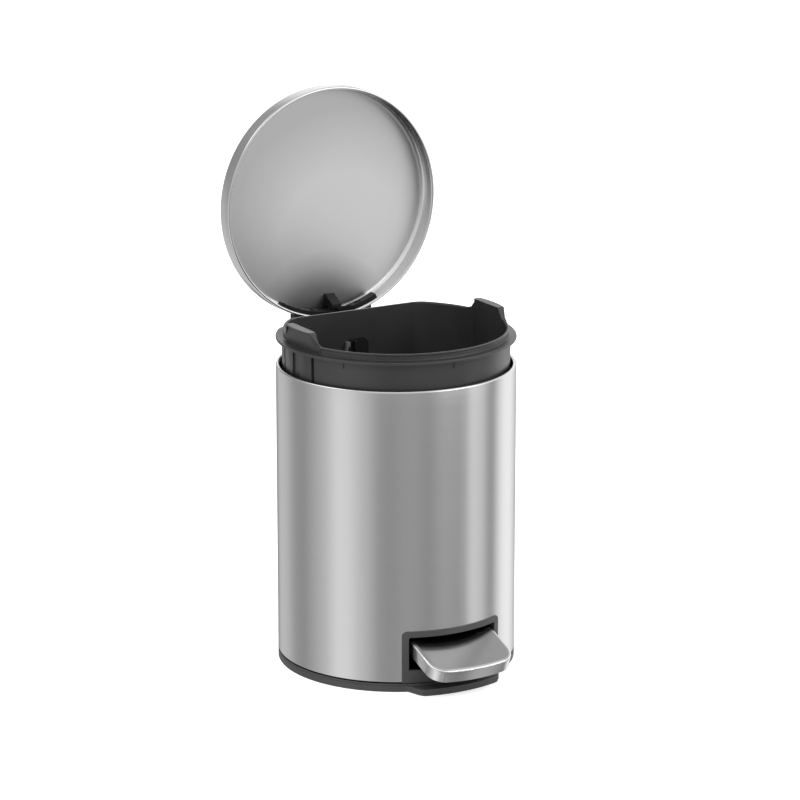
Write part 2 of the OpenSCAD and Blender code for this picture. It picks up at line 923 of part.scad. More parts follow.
module lid_screws() {
    color([0.55, 0.55, 0.57])
    lid_place()
        for (a = lid_screw_angles)
            rotate([0, 0, -a])
                translate([0, liner_r - liner_t + lid_screw_len - clear, liner_z + liner_h / 2])
                    rotate([90, 0, 0])
                        screw(screw_r, lid_screw_len - clear + 2 * fit, screw_head_r, screw_head_t);
}

// The pedal's rounded block, as stacked slices of its outline
module pedal_block(inset, skirt, tail) {
    edge = pedal_edge - inset / 2;
    hull() {
        translate([0, 0, -skirt])
            linear_extrude(fit)
                polygon(pedal_outline(inset, tail));
        for (i = [0:pedal_layers - 1])
            let (a = 90 * i / (pedal_layers - 1))
                translate([0, 0, -inset - edge * (1 - sin(a)) - fit])
                    linear_extrude(fit)
                        polygon(pedal_outline(inset + edge * (1 - cos(a)), tail));
    }
}

module pedal_plate() {
    color([0.72, 0.72, 0.71])
    pedal_place()
        difference() {
            pedal_block(0, pedal_skirt, pedal_tail);
            pedal_block(pedal_sheet, pedal_skirt + over, pedal_tail + over);
        }
}

module pedal_core() {
    inset = pedal_sheet + core_gap;
    depth = pedal_skirt - pedal_edge - pedal_sheet;
    pocket_w = (pedal_half_w - inset - lever_half_w - 3 * core_rib) / 2;
    color([0.12, 0.12, 0.12])
    pedal_place()
        difference() {
            translate([0, 0, -pedal_skirt + core_lift])
                linear_extrude(depth - core_lift)
                    polygon(pedal_outline(inset, pedal_tail - over));
            translate([-lever_half_w - clear / 2, -lever_nose - clear / 2, -pedal_skirt - over])
                cube([2 * lever_half_w + clear, body_r, pedal_skirt + over - lever_seat]);
            for (s = [0, 1], i = [0, 1])
                mirror([s, 0, 0])
                    translate([lever_half_w + core_rib + i * (pocket_w + core_rib), 0, -pedal_skirt - over])
                        translate([0, -lever_nose, 0])
                            cube([pocket_w - core_rib / 2, lever_nose, depth - core_top_t + over]);
            for (i = [0, 1])
                translate([0, -lever_nose + rivet_head_r + over + i * rivet_pitch, -pedal_skirt - over])
                    cylinder(h = 2 * pedal_skirt, r = rivet_r + fit);
        }
}

// The lever's side view from its lower edge to its top
module lever_side() {
    polygon([
        on_pedal(-lever_nose, -lever_seat), on_pedal(-lever_nose, -lever_seat - lever_lip),
        on_pedal(lever_tail, -lever_seat - lever_lip), on_lever(-lever_drop, -lever_drop),
        on_lever(lever_drop, -lever_drop), on_lever(lever_len + lever_end, -lever_end_h),
        on_lever(lever_len + lever_end, lever_end_h), on_lever(0, lever_web_top),
        on_pedal(lever_tail, -lever_seat)
    ]);
}

module lever_arm() {
    color([0.62, 0.62, 0.63])
    difference() {
        union() {
            for (x = [-lever_half_w, lever_half_w - lever_t])
                side_plate(x, lever_t)
                    lever_side();
            side_plate(-lever_half_w + lever_t / 2, 2 * lever_half_w - lever_t)
                polygon([
                    on_pedal(-lever_nose, -lever_seat), on_pedal(-lever_nose, -lever_seat - lever_t),
                    on_pedal(lever_tail, -lever_seat - lever_t), on_lever(0, lever_web_top - lever_t),
                    on_lever(lever_len + lever_end, lever_end_h - lever_t),
                    on_lever(lever_len + lever_end, lever_end_h), on_lever(0, lever_web_top),
                    on_pedal(lever_tail, -lever_seat)
                ]);
        }
        x_rod(-body_r, body_r, axle_y, axle_z, axle_r + bush_wall + fit);
        pedal_place()
            for (i = [0, 1])
                translate([0, -lever_nose + rivet_head_r + over + i * rivet_pitch, -pedal_skirt])
                    cylinder(h = pedal_skirt, r = rivet_r + fit);
    }
}

module lever_rivets() {
    top = lever_seat - core_top_t;
    color([0.75, 0.75, 0.75])
    pedal_place()
        for (i = [0, 1])
            translate([0, -lever_nose + rivet_head_r + over + i * rivet_pitch, 0]) {
                translate([0, 0, -lever_seat - lever_t - rivet_head_t])
                    cylinder(h = rivet_head_t, r = rivet_head_r);
                translate([0, 0, -lever_seat - lever_t])
                    cylinder(h = lever_seat + lever_t - top, r = rivet_r);
            }
}

module lever_bushes() {
    color([0.88, 0.88, 0.84])
    for (s = [0, 1])
        mirror([s, 0, 0])
            difference() {
                union() {
                    x_rod(lever_half_w - lever_t, lever_half_w + bush_head_t, axle_y, axle_z,
                        axle_r + bush_wall);
                    x_rod(lever_half_w + fit, lever_half_w + fit + bush_head_t, axle_y, axle_z, bush_head_r);
                }
                x_rod(-over, body_r, axle_y, axle_z, axle_r + fit);
            }
}

module lever_pad() {
    color([0.1, 0.1, 0.1])
    side_plate(-lever_half_w + lever_t, 2 * (lever_half_w - lever_t))
        polygon([
            on_lever(lever_len + lever_end - pad_len, pad_base(lever_end - pad_len)),
            on_lever(lever_len + lever_end, pad_base(lever_end)),
            on_lever(lever_len + lever_end, pad_base(lever_end) + pad_t),
            on_lever(lever_len + lever_end - pad_len, pad_base(lever_end) + pad_t)
        ]);
}

// Height of the lever's top over its centre line at a distance past the rod
function pad_base(s) =
    lever_end_h + (lever_web_top - lever_end_h) * (lever_end - s) / (lever_len + lever_end);

module push_rod() {
    color([0.75, 0.75, 0.76])
    translate([0, rod_y, foot_z + rod_foot_floor])
        cylinder(h = head_top - head_cap - foot_z - rod_foot_floor, r = rod_r);
}

module rod_head() {
    color([0.07, 0.07, 0.07])
    difference() {
        side_plate(-head_half_w, 2 * head_half_w)
            translate([rod_y, head_top - head_h])
                polygon([
                    [-head_half_d, 0], [head_half_d, 0], [head_half_d, head_h - head_bevel],
                    [head_half_d - head_bevel, head_h], [head_bevel - head_half_d, head_h],
                    [-head_half_d, head_h - head_bevel]
                ]);
        translate([0, rod_y, head_top - head_h - over])
            cylinder(h = head_h + over - head_cap, r = rod_r + fit);
    }
}

module rod_foot() {
    color([0.1, 0.1, 0.1])
    translate([0, rod_y, foot_z])
        difference() {
            cylinder(h = rod_foot_h, r = rod_foot_r);
            translate([0, 0, rod_foot_floor])
                cylinder(h = rod_foot_h, r = rod_r + fit);
        }
}

module spring_collar() {
    color([0.2, 0.2, 0.2])
    translate([0, rod_y, collar_seat_z - spring_collar_h])
        difference() {
            cylinder(h = spring_collar_h, r = spring_collar_r);
            translate([0, 0, -over])
                cylinder(h = spring_collar_h + 2 * over, r = rod_r + fit);
        }
}

module damper_piston() {
    color([0.7, 0.7, 0.72])
    difference() {
        union() {
            translate([-damper_side, rod_y, piston_end_z])
                cylinder(h = cross_z + cross_h - piston_end_z, r = piston_r);
            translate([-damper_side, rod_y, cross_z])
                cylinder(h = cross_h, r = piston_r + cross_wall);
            translate([0, rod_y, cross_z])
                cylinder(h = cross_h, r = rod_r + cross_wall);
            translate([-damper_side, rod_y - cross_wall, cross_z])
                cube([damper_side, 2 * cross_wall, cross_h]);
        }
        translate([0, rod_y, cross_z - over])
            cylinder(h = cross_h + 2 * over, r = rod_r + fit);
    }
}

// The return spring's wire: an open helix between the collar and the shelf
spring_base = collar_seat_z + clear + wire_r;
spring_pitch = spring_len / spring_turns;
spring_rings = spring_turns * curl_rings;
spring_mid = [
    for (i = [0:spring_rings]) let (a = 360 * i / curl_rings)
        [spring_r * cos(a), rod_y + spring_r * sin(a), spring_base + spring_len * i / spring_rings]
];
spring_points = [
    for (i = [0:spring_rings], j = [0:wire_sides - 1])
        let (
            a = 360 * i / curl_rings,
            b = 360 * j / wire_sides,
            lean = atan(spring_pitch / (2 * PI * spring_r)),
            out = wire_r * cos(b),
            up = wire_r * sin(b)
        )
        [
            (spring_r + out) * cos(a) + up * sin(lean) * sin(a),
            rod_y + (spring_r + out) * sin(a) - up * sin(lean) * cos(a),
            spring_mid[i][2] + up * cos(lean)
        ]
];
spring_faces = concat(
    [for (j = [1:wire_sides - 2]) [0, j, j + 1]],
    [for (j = [1:wire_sides - 2]) let (e = spring_rings * wire_sides) [e, e + j + 1, e + j]],
    [
        for (i = [0:spring_rings - 1], j = [0:wire_sides - 1], half = [0, 1])
            let (
                a = i * wire_sides + j,
                b = i * wire_sides + (j + 1) % wire_sides,
                c = a + wire_sides,
                d = b + wire_sides
            )
            half == 0 ? [a, c, b] : [b, c, d]
    ]
);
spring_gap = min([
    for (i = [0:spring_rings - curl_rings])
        norm(spring_mid[i + curl_rings] - spring_mid[i])
]) * cos(atan(spring_pitch / (2 * PI * spring_r))) - 2 * wire_r;
echo(spring_least_gap = spring_gap);

module return_spring() {
    color([0.6, 0.6, 0.62])
        polyhedron(points = spring_points, faces = spring_faces);
}

// The bucket's outside from its floor to its mouth
module bucket_section() {
    polygon([
        [0, bucket_z], [bucket_floor_r - bucket_edge, bucket_z],
        [bucket_floor_r, bucket_z + bucket_edge], [bucket_r, flange_z], [flange_r, flange_z],
        [flange_r, flange_z + flange_t], [mouth_r - mouth_lip, flange_z + flange_t],
        [mouth_r - mouth_lip, mouth_z - mouth_lip_h], [mouth_r, mouth_z - mouth_lip_h],
        [mouth_r, mouth_z], [0, mouth_z]
    ]);
}

// The bucket's inside, open at its mouth
module bucket_hollow() {
    top_r = mouth_r - mouth_lip - bucket_wall + clear;
    polygon([
        [0, bucket_z + bucket_wall], [bucket_floor_r - bucket_edge - bucket_wall, bucket_z + bucket_wall],
        [bucket_floor_r - bucket_wall, bucket_z + bucket_wall + bucket_edge], [top_r, flange_z],
        [top_r, handle_z + over], [0, handle_z + over]
    ]);
}

// A handle's outline seen along X, drawn in by an edge at its top and ends
module handle_outline(edge) {
    foot = handle_half_w + handle_spread - edge;
    top = foot - (handle_h - edge) * handle_spread / handle_h;
    polygon([[-foot, flange_z], [foot, flange_z], [top, handle_z - edge], [-top, handle_z - edge]]);
}

// One raised handle on the +X side
module handle() {
    intersection() {
        rotate([0, 0, -handle_angle])
            rotate_extrude(angle = 2 * handle_angle)
                polygon([
                    [handle_in, flange_z], [mouth_r, flange_z], [mouth_r, flange_z + flange_t],
                    [handle_r, handle_z - mouth_lip_h], [handle_r, handle_z], [handle_in, handle_z]
                ]);
        side_plate(0, body_r)
            handle_outline(0);
    }
}

// The hollow under a handle's top, where the fingers take it
module handle_grip() {
    intersection() {
        translate([mouth_r - grip_depth, -body_r, flange_z + flange_t + fit])
            cube([body_r, 2 * body_r, handle_h]);
        side_plate(0, body_r)
            handle_outline(grip_edge);
    }
}

module bucket() {
    hollow_r = mouth_r - mouth_lip - bucket_wall + clear;
    color([0.17, 0.17, 0.17])
    difference() {
        union() {
            rotate_extrude()
                bucket_section();
            for (s = [0, 1])
                mirror([s, 0, 0])
                    handle();
            for (a = rib_angles)
                rotate([0, 0, a])
                    translate([-rib_w / 2, -bucket_r - rib_out / 2, flange_z - rib_h])
                        cube([rib_w, rib_out + sheet, rib_h]);
        }
        difference() {
            rotate_extrude()
                bucket_hollow();
            translate([-body_r, flat_y - bucket_wall, bucket_z])
                cube([2 * body_r, body_r, body_top]);
            for (s = [0, 1])
                mirror([s, 0, 0])
                    translate([handle_in, -handle_half_w, bucket_z])
                        cube([body_r, 2 * handle_half_w, handle_z]);
        }
        translate([-body_r, flat_y, bucket_z - over])
            cube([2 * body_r, body_r, body_top]);
        for (s = [0, 1])
            mirror([s, 0, 0]) {
                handle_grip();
                translate([bucket_r - panel_depth, -bucket_r * sin(groove_angle), flange_z - groove_h])
                    cube([body_r, 2 * bucket_r * sin(groove_angle), groove_h - fit]);
                translate([bucket_r - panel_depth - flute_depth, -flute_half_w, flange_z - groove_h])
                    cube([body_r, 2 * flute_half_w, groove_h - fit]);
                for (a = [-groove_angle, groove_angle])
                    rotate([0, 0, a])
                        translate([hollow_r + bucket_wall - groove_depth, -groove_w / 2, flange_z - groove_h])
                            cube([body_r, groove_w, groove_h - fit]);
            }
        front_block(flat_y - bucket_wall - over, flat_y + over)
            arch(clip_half_w, clip_top - clip_h, clip_top, clip_corner);
    }
}

module bag_clip() {
    y_in = flat_y - bucket_wall;
    color([0.05, 0.05, 0.05]) {
        front_block(y_in + clear, flat_y + clip_plate_t)
            arch(clip_half_w - clear / 2, clip_top - clip_h + clear / 2, clip_top - clear / 2, clip_corner);
        front_block(flat_y + clear / 2, flat_y + clip_plate_t)
            arch(clip_half_w + clip_lap, clip_top - clip_h - clip_lap, clip_top + clip_lap, clip_corner);
        translate([clip_rib_x, y_in - clip_rib_out, clip_top - clip_h + over])
            cube([clip_rib_w, clip_rib_out + clear + fit, clip_h - 2 * over]);
        front_block(y_in - clip_rib_out, y_in + clear + fit)
            polygon([
                [-clip_half_w + clear, clip_top - clip_h + over],
                [-clip_half_w + clip_hook_w, clip_top - clip_h + over],
                [-clip_half_w + clip_hook_w, clip_top - clip_h + clip_h * clip_hook_share],
                [-clip_half_w + clip_hook_w - over, clip_top - clip_h + clip_h * clip_hook_share],
                [-clip_half_w + clear, clip_top - clip_h + clip_h * clip_hook_share / 2]
            ]);
    }
}

outer_shell();
base();
foot_ring();
pedal_frame();
axle_brackets();
pedal_axle();
axle_clips();
rear_channel();
segment_cover();
rod_guide();
damper_cylinder();
hinge_block();
hinge_pin();
hinge_screws();
base_screws();
lid_shell();
lid_bracket();
lid_liner();
lid_lever();
lid_screws();
pedal_plate();
pedal_core();
lever_arm();
lever_rivets();
lever_bushes();
lever_pad();
push_rod();
rod_head();
rod_foot();
spring_collar();
damper_piston();
return_spring();
bucket();
bag_clip();
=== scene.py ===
import json
import math

import bmesh
import bpy
from mathutils import Matrix, Vector

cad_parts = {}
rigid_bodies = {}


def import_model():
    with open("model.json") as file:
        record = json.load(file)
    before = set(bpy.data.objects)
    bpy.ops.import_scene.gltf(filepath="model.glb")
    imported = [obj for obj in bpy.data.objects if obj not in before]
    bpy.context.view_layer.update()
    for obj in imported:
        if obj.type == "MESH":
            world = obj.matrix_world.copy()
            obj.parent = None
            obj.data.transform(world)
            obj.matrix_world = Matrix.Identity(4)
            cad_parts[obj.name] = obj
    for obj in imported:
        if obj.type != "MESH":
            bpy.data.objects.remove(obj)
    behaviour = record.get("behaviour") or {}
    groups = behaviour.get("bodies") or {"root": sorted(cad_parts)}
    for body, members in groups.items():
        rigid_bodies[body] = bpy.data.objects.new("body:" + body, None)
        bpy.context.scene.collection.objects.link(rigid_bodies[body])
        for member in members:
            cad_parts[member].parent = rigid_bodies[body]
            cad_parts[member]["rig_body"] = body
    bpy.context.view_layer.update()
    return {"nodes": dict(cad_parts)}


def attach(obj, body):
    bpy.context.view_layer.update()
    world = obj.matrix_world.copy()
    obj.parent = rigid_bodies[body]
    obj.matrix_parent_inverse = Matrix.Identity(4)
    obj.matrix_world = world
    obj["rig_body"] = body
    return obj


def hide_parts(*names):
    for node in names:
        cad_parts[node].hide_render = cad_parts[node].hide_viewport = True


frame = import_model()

# Round step bin: steel body and lid, plastic bucket, pedal and hinge.
# Sizes in the pieces' dictionaries are millimetres, angles are degrees.
mm = 0.001
scene = bpy.context.scene

hinge = {"y": 111.75, "z": 267.1}
weldDistance = 0.004


# Small tools shared by the pieces

def addObject(name, data):
    obj = bpy.data.objects.new(name, data)
    scene.collection.objects.link(obj)
    return obj


def meshObject(name, points, faces):  # points in millimetres
    mesh = bpy.data.meshes.new(name)
    mesh.from_pydata([Vector(p) * mm for p in points], [], faces)
    return addObject(name, mesh)


def weldAndTurnOut(obj):  # merges doubles, then points the faces outwards
    shape = bmesh.new()
    shape.from_mesh(obj.data)
    bmesh.ops.remove_doubles(shape, verts=shape.verts, dist=weldDistance * mm)
    bmesh.ops.recalc_face_normals(shape, faces=shape.faces)
    shape.to_mesh(obj.data)
    shape.free()
    return obj


def freeze(obj):  # live modifiers become a plain mesh
    graph = bpy.context.evaluated_depsgraph_get()
    mesh = bpy.data.meshes.new_from_object(obj.evaluated_get(graph), depsgraph=graph)
    obj.modifiers.clear()
    old = obj.data
    obj.data = mesh
    mesh.name = obj.name
    if old.users == 0:
        bpy.data.meshes.remove(old)
    return obj


def modify(obj, kind, **settings):
    modifier = obj.modifiers.new(kind, kind)
    for label, value in settings.items():
        setattr(modifier, label, value)
    return freeze(obj)


def roundEdges(obj, width, segments=3, angle=32):
    return modify(obj, "BEVEL", width=width * mm, segments=segments, limit_method="ANGLE",
                  angle_limit=math.radians(angle), use_clamp_overlap=True)


def smoothShade(obj, angle=34, weighted=True):
    obj.data.shade_smooth()
    obj.data.set_sharp_from_angle(angle=math.radians(angle))
    return modify(obj, "WEIGHTED_NORMAL", keep_sharp=True) if weighted else obj


def carve(obj, cutters, operation="DIFFERENCE", solver="EXACT"):
    for cutter in cutters:
        modify(obj, "BOOLEAN", operation=operation, solver=solver, object=cutter)
        bpy.data.objects.remove(cutter)
    return obj


def mount(obj, body, slot, *nodes):  # the body it rides, a record slot that is not used, and the CAD nodes it stands for
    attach(obj, body)
    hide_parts(*nodes)
    return obj


def dress(obj, material, body, slot, *nodes):
    obj.data.materials.clear()
    obj.data.materials.append(material)
    return mount(obj, body, slot, *nodes)


def paintWhere(obj, material, test):  # a second finish where a face's centre (mm) and normal pass the test
    obj.data.materials.append(material)
    index = len(obj.data.materials) - 1
    for face in obj.data.polygons:
        if test(face.center / mm, face.normal):
            face.material_index = index
    return obj


def loft(name, rings):  # joins closed rings of equal length into one closed skin
    count = len(rings[0])
    faces = []
    for level in range(len(rings) - 1):
        a, b = level * count, (level + 1) * count
        for i in range(count):
            j = (i + 1) % count
            faces.append((a + i, a + j, b + j, b + i))
    faces.append(tuple(range(count)))
    faces.append(tuple((len(rings) - 1) * count + i for i in range(count)))
    return weldAndTurnOut(meshObject(name, [p for ring in rings for p in ring], faces))


def arcPoints(cx, cy, radius, fromAngle, toAngle, steps):
    angles = [math.radians(fromAngle + (toAngle - fromAngle) * i / steps) for i in range(steps + 1)]
    return [(cx + radius * math.cos(a), cy + radius * math.sin(a)) for a in angles]


def circlePoints(cx, cy, radius, count):
    return arcPoints(cx, cy, radius, 0, 360, count)[:-1]


def archOutline(halfWidth, low, high, radius, steps=8):  # a rectangle with its upper corners rounded
    right = arcPoints(halfWidth - radius, high - radius, radius, 0, 90, steps)
    left = arcPoints(-halfWidth + radius, high - radius, radius, 90, 180, steps)
    return [(halfWidth, low)] + right + left + [(-halfWidth, low)]


def frontBlock(name, outline, y0, y1):  # an outline of the XZ plane, from y0 to y1
    return loft(name, [[(x, y, z) for x, z in outline] for y in (y0, y1)])


def boxBlock(name, low, high):
    outline = [(low[0], low[2]), (high[0], low[2]), (high[0], high[2]), (low[0], high[2])]
    return frontBlock(name, outline, low[1], high[1])


def openPlace(y, z):  # from the closed lid's place to the open one
    return hinge["y"] + (z - hinge["z"]), hinge["z"] - (y - hinge["y"])


def openLid(obj):
    for v in obj.data.vertices:
        y, z = openPlace(v.co.y / mm, v.co.z / mm)
        v.co.y = y * mm
        v.co.z = z * mm
    return obj


# Nodes shared by the materials and the shapes

def addNode(tree, kind, inputs=None, **settings):  # an input takes a constant or another node's socket
    node = tree.nodes.new(kind)
    for label, value in settings.items():
        setattr(node, label, value)
    for label, value in (inputs or {}).items():
        if isinstance(value, bpy.types.NodeSocket):
            tree.links.new(value, node.inputs[label])
        else:
            node.inputs[label].default_value = value
    return node


def mathNode(tree, operation, *values):
    return addNode(tree, "ShaderNodeMath", dict(enumerate(values)), operation=operation).outputs["Value"]


def splitNode(tree, source):  # its outputs, by the axis's letter
    return addNode(tree, "ShaderNodeSeparateXYZ", {"Vector": source}).outputs


def objectPlace(tree):
    return tree.nodes.new("ShaderNodeTexCoord").outputs["Object"]


def vectorNode(tree, operation, vector):  # the piece's own place against a fixed vector
    inputs = {0: objectPlace(tree), 1: vector}
    return addNode(tree, "ShaderNodeVectorMath", inputs, operation=operation).outputs["Value"]


def grainNode(tree, stretch, scale, detail=3.0, roughness=0.5):
    mapping = addNode(tree, "ShaderNodeMapping", {"Vector": objectPlace(tree), "Scale": stretch})
    inputs = {"Vector": mapping.outputs["Vector"], "Scale": scale, "Detail": detail, "Roughness": roughness}
    return addNode(tree, "ShaderNodeTexNoise", inputs).outputs["Fac"]


def rampNode(tree, source, stops):
    ramp = addNode(tree, "ShaderNodeValToRGB", {"Fac": source})
    while len(ramp.color_ramp.elements) < len(stops):
        ramp.color_ramp.elements.new(0.5)
    for element, (place, value) in zip(ramp.color_ramp.elements, stops):
        element.position = place
        element.color = (*value, 1.0) if isinstance(value, tuple) else (value, value, value, 1.0)
    return ramp.outputs["Color"]


def rangeNode(tree, source, low, high, fromLow=0.0, fromHigh=1.0):
    inputs = {"Value": source, "From Min": fromLow, "From Max": fromHigh, "To Min": low, "To Max": high}
    return addNode(tree, "ShaderNodeMapRange", inputs).outputs["Result"]


def mixNode(tree, share, under, over, blend="MIX"):
    node = addNode(tree, "ShaderNodeMix", {0: share}, data_type="RGBA", blend_type=blend)
    for socket, color in zip([socket for socket in node.inputs if socket.type == "RGBA"], (under, over)):
        tree.links.new(color, socket)
    return [socket for socket in node.outputs if socket.type == "RGBA"][0]


# Materials: each one has its own grain and gloss, and some carry painted light

even = (1, 1, 1)  # a grain that runs no way


def newMaterial(name, kind="ShaderNodeBsdfPrincipled"):
    material = bpy.data.materials.new(name)
    material.use_nodes = True
    tree = material.node_tree
    tree.nodes.clear()
    shader = tree.nodes.new(kind)
    addNode(tree, "ShaderNodeOutputMaterial", {"Surface": shader.outputs[0]})
    return material, tree, shader


def finishShader(tree, shader, tone, gloss, height, strength, depth):  # colour, roughness and a fine relief
    tree.links.new(tone, shader.inputs["Base Color"])
    tree.links.new(gloss, shader.inputs["Roughness"])
    bump = addNode(tree, "ShaderNodeBump", {"Height": height, "Strength": strength, "Distance": depth * mm})
    tree.links.new(bump.outputs["Normal"], shader.inputs["Normal"])


def brushedSteel(name, streak, roughness, anisotropy, axis, color, blotch, relief):
    material, tree, shader = newMaterial(name)
    shader.inputs["Metallic"].default_value = 1.0
    lines = grainNode(tree, streak, 1.0, detail=4.0, roughness=0.65)
    cloud = grainNode(tree, even, 14.0, detail=2.0)
    tone = rampNode(tree, lines, [(0.3, color - blotch), (0.7, color + blotch)])
    mixed = mathNode(tree, "MULTIPLY_ADD", cloud, 0.3, lines)
    gloss = rangeNode(tree, mixed, roughness - 0.02, roughness + 0.02, 0.4, 0.9)
    finishShader(tree, shader, tone, gloss, lines, relief, 0.02)
    if axis:
        tangent = addNode(tree, "ShaderNodeTangent", direction_type="RADIAL", axis=axis)
        tree.links.new(tangent.outputs["Tangent"], shader.inputs["Tangent"])
        shader.inputs["Anisotropic"].default_value = anisotropy
        shader.inputs["Anisotropic Rotation"].default_value = 0.25
    return material


# painted light on the lid's inside: lighter in the middle, darker at the edge; the last table is a painted
# dark reflection near the hinge
insideLook = {
    "middle": 0.86, "edge": 0.63, "center": (20, 127, 340), "reach": 124, "roughness": 0.34,
    "hingeSide": (-2, 127, 262), "hingeReach": 72,
    "hingeDarkReflection": [(0.2, 0.24), (0.55, 0.46), (0.8, 0.84), (1.0, 1.0)],
}


def cloudedSteel(name):  # the lid's inside: painted light, lighter in its middle and darker towards its edge, with a painted dark reflection round the hinge
    s = insideLook
    material, tree, shader = newMaterial(name)
    shader.inputs["Metallic"].default_value = 1.0
    cloud = grainNode(tree, even, 26.0, detail=6.0, roughness=0.62)
    speck = grainNode(tree, even, 900.0, detail=4.0, roughness=0.7)
    away, near = [
        rangeNode(tree, vectorNode(tree, "DISTANCE", Vector(s[place]) * mm), 0.0, 1.0, 0.0, s[reach] * mm)
        for place, reach in (("center", "reach"), ("hingeSide", "hingeReach"))]
    between = s["middle"] * 0.93 + s["edge"] * 0.07
    # painted light: the colour falls from the lighter middle to the darker edge
    mixed = mathNode(tree, "MULTIPLY_ADD", cloud, 0.1, away)
    tone = rampNode(tree, mixed, [(0.1, s["middle"]), (0.55, between), (1.0, s["edge"])])
    # painted dark reflection round the hinge, multiplied into the colour
    reflectionShaded = mixNode(tree, 1.0, tone, rampNode(tree, near, s["hingeDarkReflection"]), "MULTIPLY")
    gloss = rangeNode(tree, speck, s["roughness"] - 0.03, s["roughness"] + 0.03, 0.3, 0.7)
    finishShader(tree, shader, reflectionShaded, gloss, speck, 0.1, 0.02)
    return material


def mouldedPlastic(name, color, roughness, grain, specular=0.5, coat=0.0):
    material, tree, shader = newMaterial(name)
    shader.inputs["Coat Weight"].default_value = coat
    shader.inputs["Coat Roughness"].default_value = 0.3
    shader.inputs["Specular IOR Level"].default_value = specular
    fine = grainNode(tree, even, 900.0, detail=4.0, roughness=0.6)
    wide = grainNode(tree, even, 22.0)
    dark, pale = [tuple(c * share for c in color) for share in (0.88, 1.12)]
    tone = rampNode(tree, wide, [(0.3, dark), (0.7, pale)])
    gloss = rangeNode(tree, wide, roughness - 0.05, roughness + 0.05, 0.3, 0.7)
    finishShader(tree, shader, tone, gloss, fine, grain, 0.03)
    return material


def hardwareMetal(name, color, roughness):
    material, tree, shader = newMaterial(name)
    shader.inputs["Metallic"].default_value = 1.0
    fine = grainNode(tree, even, 400.0)
    wide = grainNode(tree, even, 60.0, detail=2.0)
    tone = rampNode(tree, wide, [(0.3, color * 0.86), (0.7, color)])
    gloss = rangeNode(tree, fine, roughness - 0.06, roughness + 0.06, 0.3, 0.7)
    finishShader(tree, shader, tone, gloss, fine, 0.1, 0.02)
    return material


# steel: grain's stretch, roughness, anisotropy and its axis, colour, streaks and relief
# plastic: colour, roughness, grain, specular level and coat
finish = {
    "shell": brushedSteel("brushedSteelBody", (5, 5, 1500), 0.25, 0.8, "Z", 0.6, 0.006, 0.013),
    "rim": brushedSteel("polishedSteelRim", (40, 40, 1200), 0.14, 0.0, None, 0.66, 0.008, 0.02),
    "lid": brushedSteel("brushedSteelLid", (5, 5, 1500), 0.27, 0.0, None, 0.6, 0.010, 0.03),
    "lidSide": brushedSteel("brushedSteelLidSide", (8, 1300, 8), 0.18, 0.7, "Y", 0.66, 0.02, 0.05),
    "lidInside": cloudedSteel("satinSteelLidInside"),
    "pedal": brushedSteel("brushedSteelPedal", (900, 30, 30), 0.18, 0.0, None, 0.42, 0.012, 0.03),
    # painted highlight line for the pedal's top edge, in a pale, smooth steel
    "pedalEdgeHighlight": brushedSteel("polishedSteelPedalEdge", (900, 30, 30), 0.13, 0.0, None, 0.86, 0.008, 0.02),
    # painted light: the pedal's sides in a paler copy of its steel
    "pedalSideLit": brushedSteel("brushedSteelPedalSide", (900, 30, 30), 0.18, 0.0, None, 0.68, 0.012, 0.03),
    # near-black: the rod head's own colour, and painted shade in the seam over the base
    "matte": mouldedPlastic("matteBlackPlastic", (0.006, 0.006, 0.0062), 0.8, 0.2, 0.05),
    # painted light: a lighter grey standing in for the clip hook's lit face
    "hook": mouldedPlastic("mouldedClipHook", (0.13, 0.13, 0.132), 0.5, 0.1),
    "base": mouldedPlastic("mouldedBasePlastic", (0.056, 0.056, 0.057), 0.5, 0.2),
    "bucket": mouldedPlastic("mouldedBucketPlastic", (0.028, 0.028, 0.0285), 0.42, 0.15, 0.40, 0.28),
    "black": mouldedPlastic("blackHingePlastic", (0.008, 0.008, 0.0082), 0.5, 0.12, 0.3),
    "rubber": mouldedPlastic("footRubber", (0.02, 0.02, 0.02), 0.8, 0.5, 0.2),
    "nylon": mouldedPlastic("naturalNylon", (0.62, 0.6, 0.55), 0.4, 0.08),
    "zinc": hardwareMetal("zincPlatedSteel", 0.62, 0.28),
    "lever": hardwareMetal("pressedLeverSteel", 0.55, 0.36),
}
print("materials made:", len(finish))


# Geometry Nodes: turned shells and rows of fasteners

def newTree(name, sockets):
    tree = bpy.data.node_groups.new(name, "GeometryNodeTree")
    tree.is_modifier = True
    tree.interface.new_socket("Geometry", in_out="INPUT", socket_type="NodeSocketGeometry")
    for label, kind, value in sockets:
        socket = tree.interface.new_socket(label, in_out="INPUT", socket_type=kind)
        if value is not None:
            socket.default_value = value
    tree.interface.new_socket("Geometry", in_out="OUTPUT", socket_type="NodeSocketGeometry")
    return tree, tree.nodes.new("NodeGroupInput").outputs


def endTree(tree, geometry, material):
    real = addNode(tree, "GeometryNodeRealizeInstances", {"Geometry": geometry})
    paint = addNode(tree, "GeometryNodeSetMaterial", {
        "Geometry": real.outputs["Geometry"], "Material": material})
    addNode(tree, "NodeGroupOutput", {"Geometry": paint.outputs["Geometry"]})
    return tree


def lessNode(tree, a, b):
    return addNode(tree, "FunctionNodeCompare", {"A": a, "B": b}, data_type="FLOAT",
                   operation="LESS_THAN").outputs["Result"]


def bothNode(tree, a, b):
    return addNode(tree, "FunctionNodeBooleanMath", {0: a, 1: b}, operation="AND").outputs["Boolean"]


